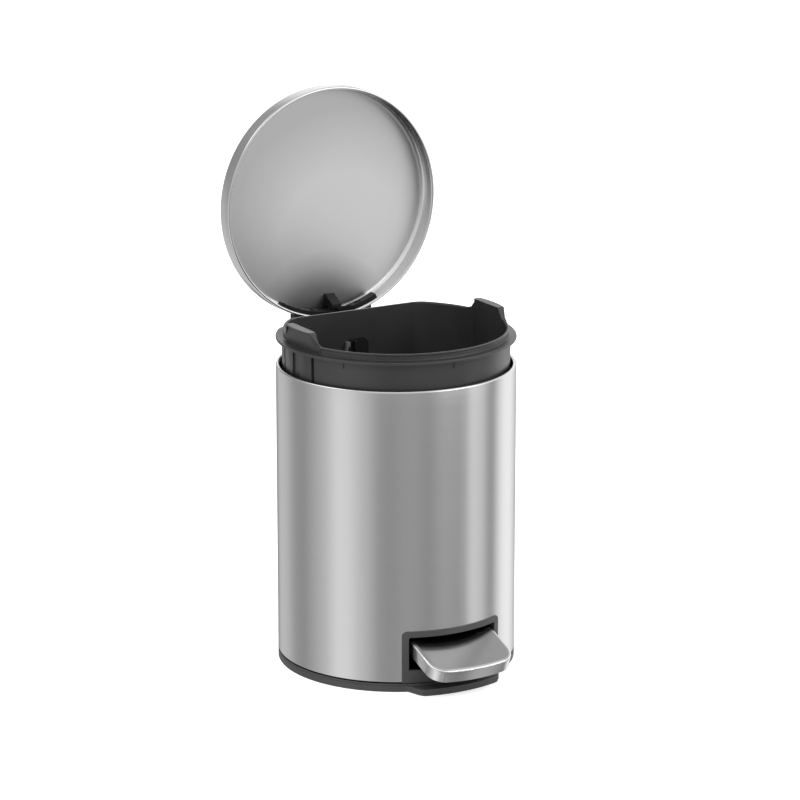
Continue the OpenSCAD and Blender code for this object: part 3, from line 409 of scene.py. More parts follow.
def makeTurnedTree():  # turns a profile line round Z, with an optional window in front
    tree, given = newTree("turnedShell", [
        ("Columns", "NodeSocketInt", 240),
        ("Window half width", "NodeSocketFloat", 0.0),
        ("Window top", "NodeSocketFloat", 0.0),
        ("Finish", "NodeSocketMaterial", None)])
    line = given["Geometry"]
    count = addNode(tree, "GeometryNodeAttributeDomainSize", {"Geometry": line}).outputs["Point Count"]
    columns = mathNode(tree, "ADD", given["Columns"], 1.0)
    grid = addNode(tree, "GeometryNodeMeshGrid", {
        "Size X": 1.0, "Size Y": 1.0, "Vertices X": columns, "Vertices Y": count})
    place = tree.nodes.new("GeometryNodeInputPosition").outputs["Position"]
    share = splitNode(tree, place)
    rows = mathNode(tree, "SUBTRACT", count, 1.0)
    step = mathNode(tree, "ROUND", mathNode(tree, "MULTIPLY", mathNode(tree, "ADD", share["Y"], 0.5), rows))
    sample = addNode(tree, "GeometryNodeSampleIndex", {
        "Geometry": line, "Value": place, "Index": step}, data_type="FLOAT_VECTOR")
    profile = splitNode(tree, sample.outputs["Value"])
    turn = mathNode(tree, "MULTIPLY_ADD", share["X"], 2 * math.pi, -math.pi / 2)
    around = addNode(tree, "ShaderNodeCombineXYZ", {
        "X": mathNode(tree, "MULTIPLY", profile["X"], mathNode(tree, "COSINE", turn)),
        "Y": mathNode(tree, "MULTIPLY", profile["X"], mathNode(tree, "SINE", turn)),
        "Z": profile["Z"]})
    move = addNode(tree, "GeometryNodeSetPosition", {
        "Geometry": grid.outputs["Mesh"], "Position": around.outputs["Vector"]})
    seam = addNode(tree, "GeometryNodeMergeByDistance", {
        "Geometry": move.outputs["Geometry"], "Distance": 2e-6})
    where = splitNode(tree, tree.nodes.new("GeometryNodeInputPosition").outputs["Position"])
    beside = lessNode(tree, mathNode(tree, "ABSOLUTE", where["X"]), given["Window half width"])
    under = lessNode(tree, where["Z"], given["Window top"])
    before = lessNode(tree, where["Y"], 0.0)
    inside = bothNode(tree, bothNode(tree, beside, under), before)
    window = addNode(tree, "GeometryNodeDeleteGeometry", {
        "Geometry": seam.outputs["Geometry"], "Selection": inside}, domain="FACE", mode="ALL")
    return endTree(tree, window.outputs["Geometry"], given["Finish"])


def makeFastenerTree():  # stands a fastener on every point, turned by the point's own angles
    tree, given = newTree("fastenerRow", [
        ("Fastener", "NodeSocketObject", None),
        ("Size", "NodeSocketFloat", 1.0),
        ("Finish", "NodeSocketMaterial", None)])
    shape = addNode(tree, "GeometryNodeObjectInfo", {"Object": given["Fastener"]})
    angles = addNode(tree, "GeometryNodeInputNamedAttribute", {"Name": "angles"}, data_type="FLOAT_VECTOR")
    turn = addNode(tree, "FunctionNodeEulerToRotation", {"Euler": angles.outputs["Attribute"]})
    copies = addNode(tree, "GeometryNodeInstanceOnPoints", {
        "Points": given["Geometry"], "Instance": shape.outputs["Geometry"],
        "Rotation": turn.outputs["Rotation"], "Scale": given["Size"]})
    return endTree(tree, copies.outputs["Instances"], given["Finish"])


def applyTree(obj, tree, values):
    nodes = obj.modifiers.new("nodes", "NODES")
    nodes.node_group = tree
    for item in tree.interface.items_tree:
        if item.item_type == "SOCKET" and item.in_out == "INPUT" and item.name in values:
            nodes[item.identifier] = values[item.name]
    return freeze(obj)


turnedTree = makeTurnedTree()
fastenerTree = makeFastenerTree()


def turnedShell(name, profile, s, material):
    line = bpy.data.meshes.new(name)
    edges = [(i, i + 1) for i in range(len(profile) - 1)]
    line.from_pydata([(r * mm, 0, z * mm) for r, z in profile], edges, [])
    shell = addObject(name, line)
    applyTree(shell, turnedTree, {
        "Columns": s["columns"], "Window half width": s["windowHalf"] * mm, "Window top": s["windowTop"] * mm,
        "Finish": material})
    weldAndTurnOut(shell)
    return modify(shell, "SOLIDIFY", thickness=s["sheet"] * mm, offset=-1, use_even_offset=True)


# Steel body

bodySizes = {
    "radius": 102.5, "foot": 9.0, "footRow": 2.0, "top": 261.8, "sheet": 0.8, "columns": 480, "rows": 14,
    "bead": 1.65, "beadTurn": 285, "beadSteps": 22, "rimBelow": 0.4, "windowHalf": 45.1, "windowTop": 51.3,
    "sharp": 50,
}


def makeShell():
    s = bodySizes
    rise = s["top"] - s["bead"]
    rows = [s["foot"], s["foot"] + s["footRow"]]
    rows += [s["windowTop"] + (rise - s["windowTop"]) * i / s["rows"] for i in range(s["rows"] + 1)]
    profile = [(s["radius"], z) for z in rows]
    profile += arcPoints(s["radius"] - s["bead"], rise, s["bead"], 0, s["beadTurn"], s["beadSteps"])[1:]
    shell = turnedShell("steelBody", profile, s, finish["shell"])
    smoothShade(shell, s["sharp"], weighted=False)
    dress(shell, finish["shell"], "body", "brushed_steel", "outer_shell")
    return paintWhere(shell, finish["rim"], lambda c, n: c.z > rise - s["rimBelow"])


makeShell()
print("steel body made")


# Lid

lidSizes = {
    "radius": 102.5, "hem": 264.85, "depth": 18.8, "corner": 5.7, "cornerSteps": 14, "dome": 1.4, "rings": 26,
    "sideRow": 0.4, "bead": 1.4, "beadTurn": -262, "beadSteps": 20, "sheet": 0.8, "columns": 360,
    "windowHalf": 0.0, "windowTop": 0.0,  # none
    "insideFrom": 8.0, "rimUpTo": 3.0, "sharp": 50,
}


def makeLid():
    s = lidSizes
    flat = s["hem"] + s["depth"]
    edge = s["radius"] - s["corner"]
    shares = [i / s["rings"] for i in range(s["rings"])]
    profile = [(edge * share, flat + s["dome"] * (1 - share ** 2)) for share in shares]
    profile += arcPoints(edge, flat - s["corner"], s["corner"], 90, 0, s["cornerSteps"])
    profile += [(s["radius"], s["hem"] + s["depth"] * s["sideRow"])]
    profile += arcPoints(
        s["radius"] - s["bead"], s["hem"] + s["bead"], s["bead"], 0, s["beadTurn"], s["beadSteps"])
    lid = openLid(turnedShell("steelLid", profile, s, finish["lid"]))
    smoothShade(lid, s["sharp"], weighted=False)
    dress(lid, finish["lid"], "lid", "brushed_steel", "lid_shell")
    hem = openPlace(0, s["hem"])[0]
    paintWhere(lid, finish["lidInside"], lambda c, n: n.y < -0.5 and c.y > hem + s["insideFrom"])
    paintWhere(lid, finish["lidSide"], lambda c, n: abs(n.y) <= 0.5)
    return paintWhere(lid, finish["rim"], lambda c, n: c.y < hem + s["rimUpTo"])


makeLid()
print("lid made")


# Bucket

bucketSizes = {
    "floorR": 91.0, "floorZ": 73.6, "edge": 4.0, "edgeSteps": 5, "wall": 2.2, "innerR": 93.7, "sideR": 97.6,
    "flangeZ": 283.6, "flangeTop": 286.0, "flangeR": 102.5, "flangeUnder": 0.7, "flangeOver": 0.8,
    "mouthR": 96.3, "mouthZ": 292.2, "mouthOut": 0.8, "mouthIn": 1.6, "neckR": 95.6, "lipZ": 290.6,
    "flat": 71.5, "corner": 17.0, "arcSteps": 220, "flatSteps": 16, "cornerSteps": 12,
    # small steps of the profile, outwards and upwards from the side, neck, lip, inner wall and floor
    "sideSteps": [(-0.55, -22), (-0.1, -1.2), (0.5, -0.3), (1.2, 0)],
    "neckSteps": [(1.2, 0), (0.35, 0.35), (0, 1.2)],
    "lipSteps": [(-0.7, -0.3), (-0.25, -0.1), (0, 0.3)],
    "innerSteps": [(-0.1, -2.0)], "floorSteps": [(0.2, 9.0)],
    "handle": {
        "inside": 88.8, "skin": 0.15, "half": 19.5, "columns": 28, "round": 0.6,
        "ends": [(31.5, 285.0), (31.5, 291.7), (28.2, 292.2), (26.6, 292.9), (25.6, 294.0), (20.2, 301.8),
                 (19.8, 302.2)],
        "out": [(95.9, 285.0), (96.3, 291.9), (96.3, 292.4), (96.35, 293.2), (96.5, 294.6), (97.3, 301.4),
                (97.3, 302.2)],
        "panelFoot": 12.0, "panelRows": 12, "panelStep": 1.75, "panelStepHalf": 0.05, "panelOver": 0.6,
        "panelBack": 1.0, "panelCrown": 2.5, "panelCorner": [(0.5, 1.0), (0.14, 0.36), (0, 0)],
        "panelTurn": 1.0, "panelTurnShare": 0.4, "backSteps": 20,
        "gripX": 93.2, "gripFoot": 27.3, "gripHalf": 19.1, "gripTop": 300.8, "gripGap": 0.05,
    },
    "cuts": {
        "beyond": 107.5, "below": 30.0, "gap": 0.05, "panelX": 96.7, "fluteX": 95.4, "fluteHalf": 6.0,
        "grooveAngle": 14.5, "grooveHalf": 1.7, "grooveDepth": 1.2,
        "clipHalf": 12.4, "clipLow": 240.2, "clipHigh": 267.2, "clipCorner": 7.5, "clipOver": 2.0,
        "tickAngles": [-56.6, -0.4, 62], "tickHalf": 0.4, "tickOut": 0.7, "tickIn": 1.5, "tickDown": 6.0,
        "tickUp": 0.4,
    },
}


def bucketRing(radius, flat, corner, z):  # a circle cut flat at the back, with rounded corners
    s = bucketSizes
    cx = math.sqrt((radius - corner) ** 2 - (flat - corner) ** 2)
    turn = math.degrees(math.atan2(flat - corner, cx))
    right = arcPoints(cx, flat - corner, corner, 90, turn, s["cornerSteps"])
    around = arcPoints(0, 0, radius, turn, -180 - turn, s["arcSteps"])[1:-1]
    left = arcPoints(-cx, flat - corner, corner, 180 - turn, 90, s["cornerSteps"])
    back = [(-cx + 2 * cx * i / s["flatSteps"], flat) for i in range(1, s["flatSteps"])]
    return [(x, y, z) for x, y in right + around + left + back]


def stepsFrom(radius, z, steps):
    return [(radius + r, z + up) for r, up in steps]


def bucketBody():
    s = bucketSizes
    under, over, lip, throat = s["flangeUnder"], s["flangeOver"], s["mouthOut"], s["mouthIn"]
    outer = arcPoints(s["floorR"] - s["edge"], s["floorZ"] + s["edge"], s["edge"], -90, 0, s["edgeSteps"])
    outer += stepsFrom(s["sideR"], s["flangeZ"], s["sideSteps"]) + [(s["flangeR"] - under, s["flangeZ"])]
    outer += arcPoints(s["flangeR"] - under, s["flangeZ"] + under, under, -70, 0, 4)
    outer += arcPoints(s["flangeR"] - over, s["flangeTop"] - over, over, 0, 90, 4)
    outer += stepsFrom(s["neckR"], s["flangeTop"], s["neckSteps"])
    outer += stepsFrom(s["mouthR"], s["lipZ"], s["lipSteps"])
    outer += arcPoints(s["mouthR"] - lip, s["mouthZ"] - lip, lip, 0, 90, 5)
    floorR, floorZ = s["floorR"] - s["wall"], s["floorZ"] + s["wall"]
    inner = arcPoints(s["innerR"] + throat, s["mouthZ"] - throat, throat, 90, 180, 7)
    inner += stepsFrom(s["innerR"], s["flangeZ"], s["innerSteps"])
    inner += stepsFrom(floorR, floorZ, s["floorSteps"])
    inner += arcPoints(floorR - s["edge"], floorZ + s["edge"], s["edge"], 0, -90, s["edgeSteps"])
    rings = [bucketRing(r, s["flat"], s["corner"], z) for r, z in outer]
    rings += [bucketRing(r, s["flat"] - s["wall"], s["corner"] - s["wall"], z) for r, z in inner]
    return loft("bucketShell", rings)


def handleBlock(side):
    h = bucketSizes["handle"]
    plane = h["inside"] + h["skin"]
    rings = []
    for i in range(h["columns"] + 1):
        t = -1 + 2 * i / h["columns"]
        outline = [(math.hypot(plane, half * t) if t < 0 else bucketSizes["innerR"], half * t, z)
                   for half, z in h["ends"]]
        outline += [(r, half * t, z) for (r, z), (half, level) in reversed(list(zip(h["out"], h["ends"])))]
        rings.append([(side * math.sqrt(r * r - y * y), y, z) for r, y, z in outline])
    return roundEdges(loft("handle", rings), h["round"], 3, 40)


def handlePanel(side):  # the flat that runs down the bucket's inside from a handle's top
    s, h = bucketSizes, bucketSizes["handle"]
    inside, floorR = h["inside"], s["floorR"] - s["wall"]
    foot, top, step = s["floorZ"] + h["panelFoot"], h["ends"][-1][1], s["mouthZ"] - h["panelStep"]
    levels = [foot + (s["flangeZ"] - foot) * i / h["panelRows"] for i in range(h["panelRows"] + 1)]
    rings = []
    for z in levels + [step - h["panelStepHalf"], step + h["panelStepHalf"], top]:
        wall = floorR + (s["innerR"] - floorR) * min(1, (z - foot) / (s["flangeZ"] - foot))
        meet = math.sqrt(max(0, wall * wall - inside ** 2)) + h["panelOver"]
        far = min(h["half"], meet)
        near = meet if z < step else far
        back = wall + (h["panelCrown"] if z == top else h["panelBack"])
        turn = min(h["panelTurn"], far * h["panelTurnShare"])
        corner = [(x * turn, y * turn) for x, y in h["panelCorner"]]
        outline = [(inside + x, turn - y - near) for x, y in corner]
        outline += [(inside + x, far - turn + y) for x, y in reversed(corner)]
        ys = [far - (far + near) * i / h["backSteps"] for i in range(h["backSteps"] + 1)]
        outline += [(math.sqrt(back * back - y * y), y) for y in ys]
        rings.append([(side * x, y, z) for x, y in outline])
    return loft("handlePanel", rings)


def handleGrip(side):  # the hollow that the fingers reach under
    s, h = bucketSizes, bucketSizes["handle"]
    outline = [(h["gripFoot"], s["flangeTop"] + h["gripGap"]), (h["gripHalf"], h["gripTop"])]
    outline += [(-y, z) for y, z in reversed(outline)]
    ends = (h["gripX"], s["cuts"]["beyond"])
    return loft("handleGrip", [[(side * x, y, z) for y, z in outline] for x in ends])


def makeBucket():
    s, c = bucketSizes, bucketSizes["cuts"]
    bucket = bucketBody()
    low, high = s["flangeZ"] - c["below"], s["flangeZ"] - c["gap"]
    panelHalf = s["sideR"] * math.sin(math.radians(c["grooveAngle"]))
    cutters = []
    for side in (-1, 1):
        for name, inner, half in (("panel", c["panelX"], panelHalf), ("flute", c["fluteX"], c["fluteHalf"])):
            x0, x1 = sorted((side * inner, side * c["beyond"]))
            cutters.append(boxBlock(name, (x0, -half, low), (x1, half, high)))
        for sign in (-1, 1):
            inner, half = s["innerR"] + s["wall"] - c["grooveDepth"], c["grooveHalf"]
            groove = boxBlock("groove", (inner, -half, low), (c["beyond"], half, high))
            turn = sign * c["grooveAngle"] + (180 if side < 0 else 0)
            groove.data.transform(Matrix.Rotation(math.radians(turn), 4, "Z"))
            cutters.append(groove)
    clip = archOutline(c["clipHalf"], c["clipLow"], c["clipHigh"], c["clipCorner"])
    front, back = s["flat"] - s["wall"] - c["clipOver"], s["flat"] + c["clipOver"]
    cutters.append(frontBlock("clipWindow", clip, front, back))
    carve(bucket, cutters, "DIFFERENCE", "MANIFOLD")
    ticks = []
    for angle in c["tickAngles"]:
        tick = boxBlock("tick", (-c["tickHalf"], -s["sideR"] - c["tickOut"], s["flangeZ"] - c["tickDown"]),
                        (c["tickHalf"], -s["sideR"] + c["tickIn"], s["flangeZ"] + c["tickUp"]))
        tick.data.transform(Matrix.Rotation(math.radians(angle), 4, "Z"))
        ticks.append(tick)
    carve(bucket, [handlePanel(1), handlePanel(-1)], "UNION", "MANIFOLD")
    carve(bucket, [handleBlock(1), handleBlock(-1)] + ticks, "UNION", "MANIFOLD")
    carve(bucket, [handleGrip(1), handleGrip(-1)], "DIFFERENCE", "MANIFOLD")
    smoothShade(bucket, 30)
    return dress(bucket, finish["bucket"], "bucket", "bucket_plastic", "bucket")


makeBucket()
print("bucket made")


# Base with its toe rest

baseSizes = {
    "radius": 102.5, "height": 9.0, "floor": 4.0, "round": 0.7, "seam": 1.5,
    "collarOut": 100.6, "collarIn": 98.4, "collarTop": 21.0, "frameHalf": 47.5, "seatBack": -60,
    "toeReach": 13.1, "toeHalf": 41.0, "toeTaper": 0.311, "toeTop": 6.0, "toeUnder": 1.8, "toeUnderTop": 3.0,
    "toeSpread": 60, "blend": 5.0, "rootBlend": 1.0, "ringIn": 89.7, "ringOut": 96.3, "ringDepth": 1.6,
    # height over the toe's top and reach less than the toe's, from its foot to its root
    "toeSteps": [(-4.0, 0), (-2.8, 0), (-0.9, 0), (-0.25, 0.25), (0, 0.9), (0.3, 3.4), (-0.2, 4.0)],
    "lipSteps": [(0, -1.4, 1.2), (0, -0.3, 0.2), (-0.3, 0, 0)],
    "coarseTurn": 1.5, "fineFrom": 15, "fineSpan": 14, "fineSteps": 90,
    "screws": [(-30.5, -78), (-30.5, -70), (30.5, -78), (30.5, -70), (-26, 81), (26, 81)],
    "screwR": 2.2, "headR": 3.5, "headDeep": 2.1, "holeSides": 32, "holeOver": 1.0, "headOver": 2.0,
    "seatFront": 104.5, "seatTop": 24.0, "seamRise": 0.1, "seamShadeFrom": 0.01,
}


def smoothMin(a, b, k):
    h = max(k - abs(a - b), 0) / k
    return min(a, b) - h * h * k / 4


def toeRadius(angle, base, reach, z):  # outline of the base from above; angle 0 is straight in front
    s = baseSizes
    a = abs(math.radians(angle))
    if a > math.radians(s["toeSpread"]) or reach <= 0:
        return base
    half = s["toeHalf"] - s["toeUnder"] * max(0.0, 1 - z / s["toeUnderTop"]) ** 2
    side = (half + s["toeTaper"] * s["radius"]) / (math.sin(a) + s["toeTaper"] * math.cos(a))
    toe = smoothMin(base + reach, side, s["blend"])
    return -smoothMin(-base, -toe, s["rootBlend"])


def baseLevels(lip):  # radius, height and the toe's reach, up the outside and down the collar
    s = baseSizes
    reach, r = s["toeReach"], s["radius"]
    levels = [(s["ringIn"], 0, 0), (s["ringIn"], s["ringDepth"], 0)]
    levels += [(s["ringOut"], s["ringDepth"], 0), (s["ringOut"], 0, 0)]
    levels += [(x, z, reach) for x, z in arcPoints(r - s["round"], s["round"], s["round"], -90, 0, 4)]
    levels += [(r, s["toeTop"] + up, reach - less) for up, less in s["toeSteps"]]
    levels += [(r + out, lip + up, far) for out, up, far in s["lipSteps"]]
    levels += [(s["collarOut"], z, 0) for z in (lip + s["seamRise"], s["height"], s["collarTop"])]
    return levels + [(s["collarIn"], s["collarTop"], 0), (s["collarIn"], s["floor"], 0)]


def makeBase():
    s = baseSizes
    fine = [s["fineFrom"] + s["fineSpan"] * i / s["fineSteps"] for i in range(s["fineSteps"] + 1)]
    coarse = [round(i * s["coarseTurn"], 3) for i in range(-120, 120)]
    angles = sorted(set(coarse + fine + [-a for a in fine]))
    lip = s["height"] - s["seam"]
    rings = []
    for r, z, reach in baseLevels(lip):
        outline = [(toeRadius(angle, r, reach, z), math.radians(angle)) for angle in angles]
        rings.append([(far * math.sin(a), -far * math.cos(a), z) for far, a in outline])
    base = loft("basePlate", rings)
    cutters = [boxBlock("frameSeat", (-s["frameHalf"], -s["seatFront"], s["height"]),
                        (s["frameHalf"], s["seatBack"], s["seatTop"]))]
    shank = (s["screwR"], -s["holeOver"], s["floor"] + s["holeOver"])
    head = (s["headR"], -s["headOver"], s["headDeep"])
    for x, y in s["screws"]:
        for radius, low, high in (shank, head):
            hole = circlePoints(x, y, radius, s["holeSides"])
            cutters.append(loft("hole", [[(px, py, z) for px, py in hole] for z in (low, high)]))
    carve(base, cutters, "DIFFERENCE", "MANIFOLD")
    smoothShade(base, 30)
    dress(base, finish["base"], "body", "base_plastic", "base")
    # painted shade: the seam over the base's lip and the collar above it in near-black, where the gap under
    # the steel lies in shadow
    return paintWhere(base, finish["matte"],
                      lambda c, n: c.z > lip - s["seamShadeFrom"] and math.hypot(c.x, c.y) > s["ringIn"])


makeBase()
print("base made")


# Frame round the pedal's opening

frameSizes = {
    "outer": 103.3, "skin": 102.6, "inner": 99.5, "half": 47.2, "low": 8.3, "top": 53.5, "corner": 4.0,
    "plugHalf": 44.8, "plugTop": 51.1, "plugOver": 0.2, "openHalf": 42.1, "sill": 19.3, "openTop": 48.3,
    "openCorner": 1.5, "openFront": -107.3, "cheek": 2.0, "cheekFrom": 2.6, "cheekDeep": 11.0,
    "cheekLow": 8.4, "edge": 0.35, "back": -60, "over": 3.0, "overTop": 2.0, "overLow": 1.0, "columns": 84,
    "archSteps": 10,
}


def sector(name, rOut, rIn, half):  # a stretch of ring in front, wider than half
    s = frameSizes
    low, high = s["low"], s["top"] + s["overTop"]
    reach = math.degrees(math.asin((half + s["over"]) / rIn))
    rings = []
    for i in range(s["columns"] + 1):
        a = math.radians(-90 - reach + 2 * reach * i / s["columns"])
        corners = ((rOut, low), (rOut, high), (rIn, high), (rIn, low))
        rings.append([(r * math.cos(a), r * math.sin(a), z) for r, z in corners])
    return loft(name, rings)


def archSector(name, rOut, rIn, half, top):  # the same, trimmed to an arch
    s = frameSizes
    arch = archOutline(half, s["low"] - s["overLow"], top, s["corner"], s["archSteps"])
    trim = frontBlock("outline", arch, -s["outer"] - s["over"], s["back"])
    return carve(sector(name, rOut, rIn, half), [trim], "INTERSECT")


def makeFrame():
    s = frameSizes
    face = archSector("pedalFrame", s["outer"], s["skin"], s["half"], s["top"])
    plug = archSector("plug", s["skin"] + s["plugOver"], s["inner"], s["plugHalf"], s["plugTop"])
    carve(face, [plug], "UNION")
    edgeY = -math.sqrt(s["skin"] ** 2 - s["openHalf"] ** 2)
    cheeks = []
    for side in (-1, 1):
        x0, x1 = sorted((side * s["openHalf"], side * (s["openHalf"] + s["cheek"])))
        cheeks.append(boxBlock("cheek", (x0, edgeY + s["cheekFrom"], s["cheekLow"]),
                               (x1, edgeY + s["cheekDeep"], s["openTop"] + s["cheek"])))
    carve(face, cheeks, "UNION")
    opening = archOutline(s["openHalf"], s["sill"], s["openTop"], s["openCorner"], 4)
    carve(face, [frontBlock("opening", opening, s["openFront"], s["back"])])
    roundEdges(face, s["edge"], 2, 50)
    smoothShade(face, 34)
    return dress(face, finish["base"], "body", "base_plastic", "pedal_frame")


makeFrame()
print("pedal frame made")


# Pedal

pedalSizes = {
    "half": 39.8, "reach": 38.3, "tail": 12.0, "bow": 4.8, "corner": 16.0, "sheet": 1.0, "slope": 20.0,
    "crossY": -102.5, "crossZ": 41.5, "cornerSteps": 18, "bowSteps": 44, "tailOver": 3.0, "drop": 3.0,
    "sideFacing": 0.45, "sideUp": 0.5, "edgeUp": (0.74, 0.95), "edgeDepth": (-1.3, -0.9),
    # inset and depth of the cap's skin, from the skirt's foot to the flat top
    "steps": [(0.0, -12.0), (0.0, -6.0), (0.0, -2.0), (0.05, -1.65), (0.18, -1.4), (0.42, -1.2), (1.15, -0.8),
              (1.95, -0.36), (2.25, -0.2), (2.6, -0.08), (3.1, -0.01), (3.7, 0.0)],
}


def pedalOutline(inset, tail):
    s = pedalSizes
    w, bow, corner = s["half"], s["bow"], s["corner"]
    bowR = (w * w + bow * bow) / (2 * bow)
    x0 = w - corner
    yBow = -s["reach"] + bowR
    y0 = yBow - math.sqrt((bowR - corner) ** 2 - x0 * x0)
    turn = math.degrees(math.asin(x0 / (bowR - corner)))
    right = arcPoints(x0, y0, corner - inset, 0, turn - 90, s["cornerSteps"])
    front = arcPoints(0, yBow, bowR - inset, turn - 90, -turn - 90, s["bowSteps"])[1:-1]
    left = [(-x, y) for x, y in reversed(right)]
    return [(w - inset, tail)] + right + front + left + [(inset - w, tail)]


def pedalPoint(x, v, w):  # v runs along the sloping pedal, w stands on it
    s = pedalSizes
    a = math.radians(s["slope"])
    along, up = math.cos(a), math.sin(a)
    return (x, s["crossY"] + v * along - w * up, s["crossZ"] + v * up + w * along)


def pedalBlock(name, grow, tail, drop):
    s = pedalSizes
    rings = []
    for i, (inset, w) in enumerate(s["steps"]):
        low = w - drop if i == 0 else w - (s["sheet"] if grow else 0)
        rings.append([pedalPoint(x, v, low) for x, v in pedalOutline(inset + grow, tail)])
    return loft(name, rings)


def pedalHollow(grow):
    return pedalBlock("hollow", grow, pedalSizes["tail"] + pedalSizes["tailOver"], pedalSizes["drop"])


def makePedal():
    s = pedalSizes
    pedal = pedalBlock("pedalCap", 0.0, s["tail"], 0.0)
    carve(pedal, [pedalHollow(s["sheet"])])
    smoothShade(pedal, 40)
    dress(pedal, finish["pedal"], "pedal", "brushed_steel", "pedal_plate")
    up = Vector((0, -math.sin(math.radians(s["slope"])), math.cos(math.radians(s["slope"]))))
    cross = Vector((0, s["crossY"], s["crossZ"]))
    (flat, steep), (low, high) = s["edgeUp"], s["edgeDepth"]
    # painted light: faces turned to the sides get the paler copy of the steel
    paintWhere(pedal, finish["pedalSideLit"],
               lambda c, n: abs(n.x) > s["sideFacing"] and abs(n.dot(up)) <= s["sideUp"])
    # painted highlight: a thin strip along the pedal's top edge gets the pale steel
    return paintWhere(pedal, finish["pedalEdgeHighlight"],
                      lambda c, n: flat < n.dot(up) < steep and low < (c - cross).dot(up) < high)


makePedal()
print("pedal made")


# Fasteners, one shape stood on many points

fastenerSizes = {
    "base": {"shank": 1.9, "length": 6.0, "head": 3.2, "headH": 1.8},
    "hinge": {"shank": 1.9, "length": 28.8, "head": 3.8, "headH": 2.35},
    "lid": {"shank": 1.6, "length": 9.8, "head": 3.1, "headH": 1.6},
    "rivet": {"shank": 2.0, "length": 5.0, "head": 3.6, "headH": 1.0},
    "shape": {
        "tip": 0.7, "tipLong": 0.8, "rim": 0.2, "crown": 0.3, "crownTurns": (10, 26, 42, 58, 74), "sides": 28,
        "slotLong": 0.62, "slotThin": 0.13, "slotDeep": 0.6, "sharp": 35,
    },
    "places": {
        "baseSink": 0.3, "baseTurn": 37,
        "hingeFace": 111.8, "hingeZ": 245.5, "hingeTurns": ((-19, 20), (19, 65)),
        "lidAngles": (-19.5, -9, 16), "lidR": 106.2, "lidZ": 271.95,
        "rivetV": (-20.4, -4.4), "rivetW": -4.0,
    },
}


def fastenerShape(name, s, cross):  # stands on its tip at the origin, head up
    c = fastenerSizes["shape"]
    neck, top = s["length"], s["length"] + s["headH"]
    profile = [(s["shank"] * c["tip"], 0), (s["shank"], c["tipLong"]), (s["shank"], neck)]
    profile += [(s["head"] - c["rim"], neck), (s["head"], neck + c["rim"])]
    for angle in c["crownTurns"]:
        a = math.radians(angle)
        profile.append((s["head"] * math.cos(a), neck + c["crown"] + (s["headH"] - c["crown"]) * math.sin(a)))
    shape = loft(name, [[(x, y, z) for x, y in circlePoints(0, 0, r, c["sides"])] for r, z in profile])
    if cross:
        long, thin = s["head"] * c["slotLong"], s["head"] * c["slotThin"]
        floor = top - s["headH"] * c["slotDeep"]
        sides = ((long, thin), (thin, long))
        carve(shape, [boxBlock("slot", (-x, -y, floor), (x, y, top + 1)) for x, y in sides])
    return smoothShade(shape, c["sharp"])


def fastenerRow(name, size, cross, places, material, body, node):  # places: (tip in mm, turn in degrees)
    row = meshObject(name, [p for p, a in places], [])
    turns = row.data.attributes.new("angles", "FLOAT_VECTOR", "POINT")
    for i, (p, a) in enumerate(places):
        turns.data[i].vector = [math.radians(v) for v in a]
    shape = fastenerShape(name + "Shape", fastenerSizes[size], cross)
    applyTree(row, fastenerTree, {"Fastener": shape, "Size": 1.0, "Finish": material})
    bpy.data.objects.remove(shape)
    return mount(row, body, "hardware_steel", node)


def makeFasteners():
    s, p = fastenerSizes, fastenerSizes["places"]
    low = p["baseSink"] + s["base"]["length"] + s["base"]["headH"]
    under = [((x, y, low), (180, 0, i * p["baseTurn"])) for i, (x, y) in enumerate(baseSizes["screws"])]
    fastenerRow("baseScrews", "base", True, under, finish["zinc"], "body", "base_screws")
    tip = p["hingeFace"] - s["hinge"]["length"]
    rear = [((x, tip, p["hingeZ"]), (-90, 0, turn)) for x, turn in p["hingeTurns"]]
    fastenerRow("hingeScrews", "hinge", True, rear, finish["zinc"], "body", "hinge_screws")
    inside = []
    for angle in p["lidAngles"]:
        a = math.radians(angle)
        y, z = openPlace(p["lidR"] * math.cos(a), p["lidZ"])
        inside.append(((p["lidR"] * math.sin(a), y, z), (0, angle, 0)))
    fastenerRow("lidScrews", "lid", True, inside, finish["black"], "lid", "lid_screws")
    rivets = [(pedalPoint(0, v, p["rivetW"]), (180 + pedalSizes["slope"], 0, 0)) for v in p["rivetV"]]
    fastenerRow("leverRivets", "rivet", False, rivets, finish["zinc"], "pedal", "lever_rivets")


makeFasteners()
print("fasteners made")


# Moulded and pressed pieces that keep their shape, with their edges broken

softened = {
    "lid_bracket": ("black", 0.5), "lid_lever": ("black", 0.5), "lid_liner": ("black", 0.4),
    "hinge_block": ("black", 0.6), "rod_head": ("matte", 0.4), "bag_clip": ("black", 0.25),
    "segment_cover": ("black", 0.3), "axle_brackets": ("black", 0.4), "pedal_core": ("black", 0.3),
    "lever_arm": ("lever", 0.3), "lever_pad": ("black", 0.4), "foot_ring": ("rubber", 0.25),
    "rod_foot": ("black", 0.4), "spring_collar": ("black", 0.3),
}
slotOf = {
    "black": "black_plastic", "matte": "black_plastic", "lever": "hardware_steel", "rubber": "foot_rubber",
}
softening = {"weld": 0.003, "flatWithin": 1.2, "segments": 2, "angle": 40, "coreGap": 0.15}
clipHook = {
    "outline": [(-12.2, 250.0), (-7.4, 250.0), (-7.4, 265.2), (-11.0, 265.4)], "front": 65.85, "back": 69.6,
    "edge": 0.3,
}


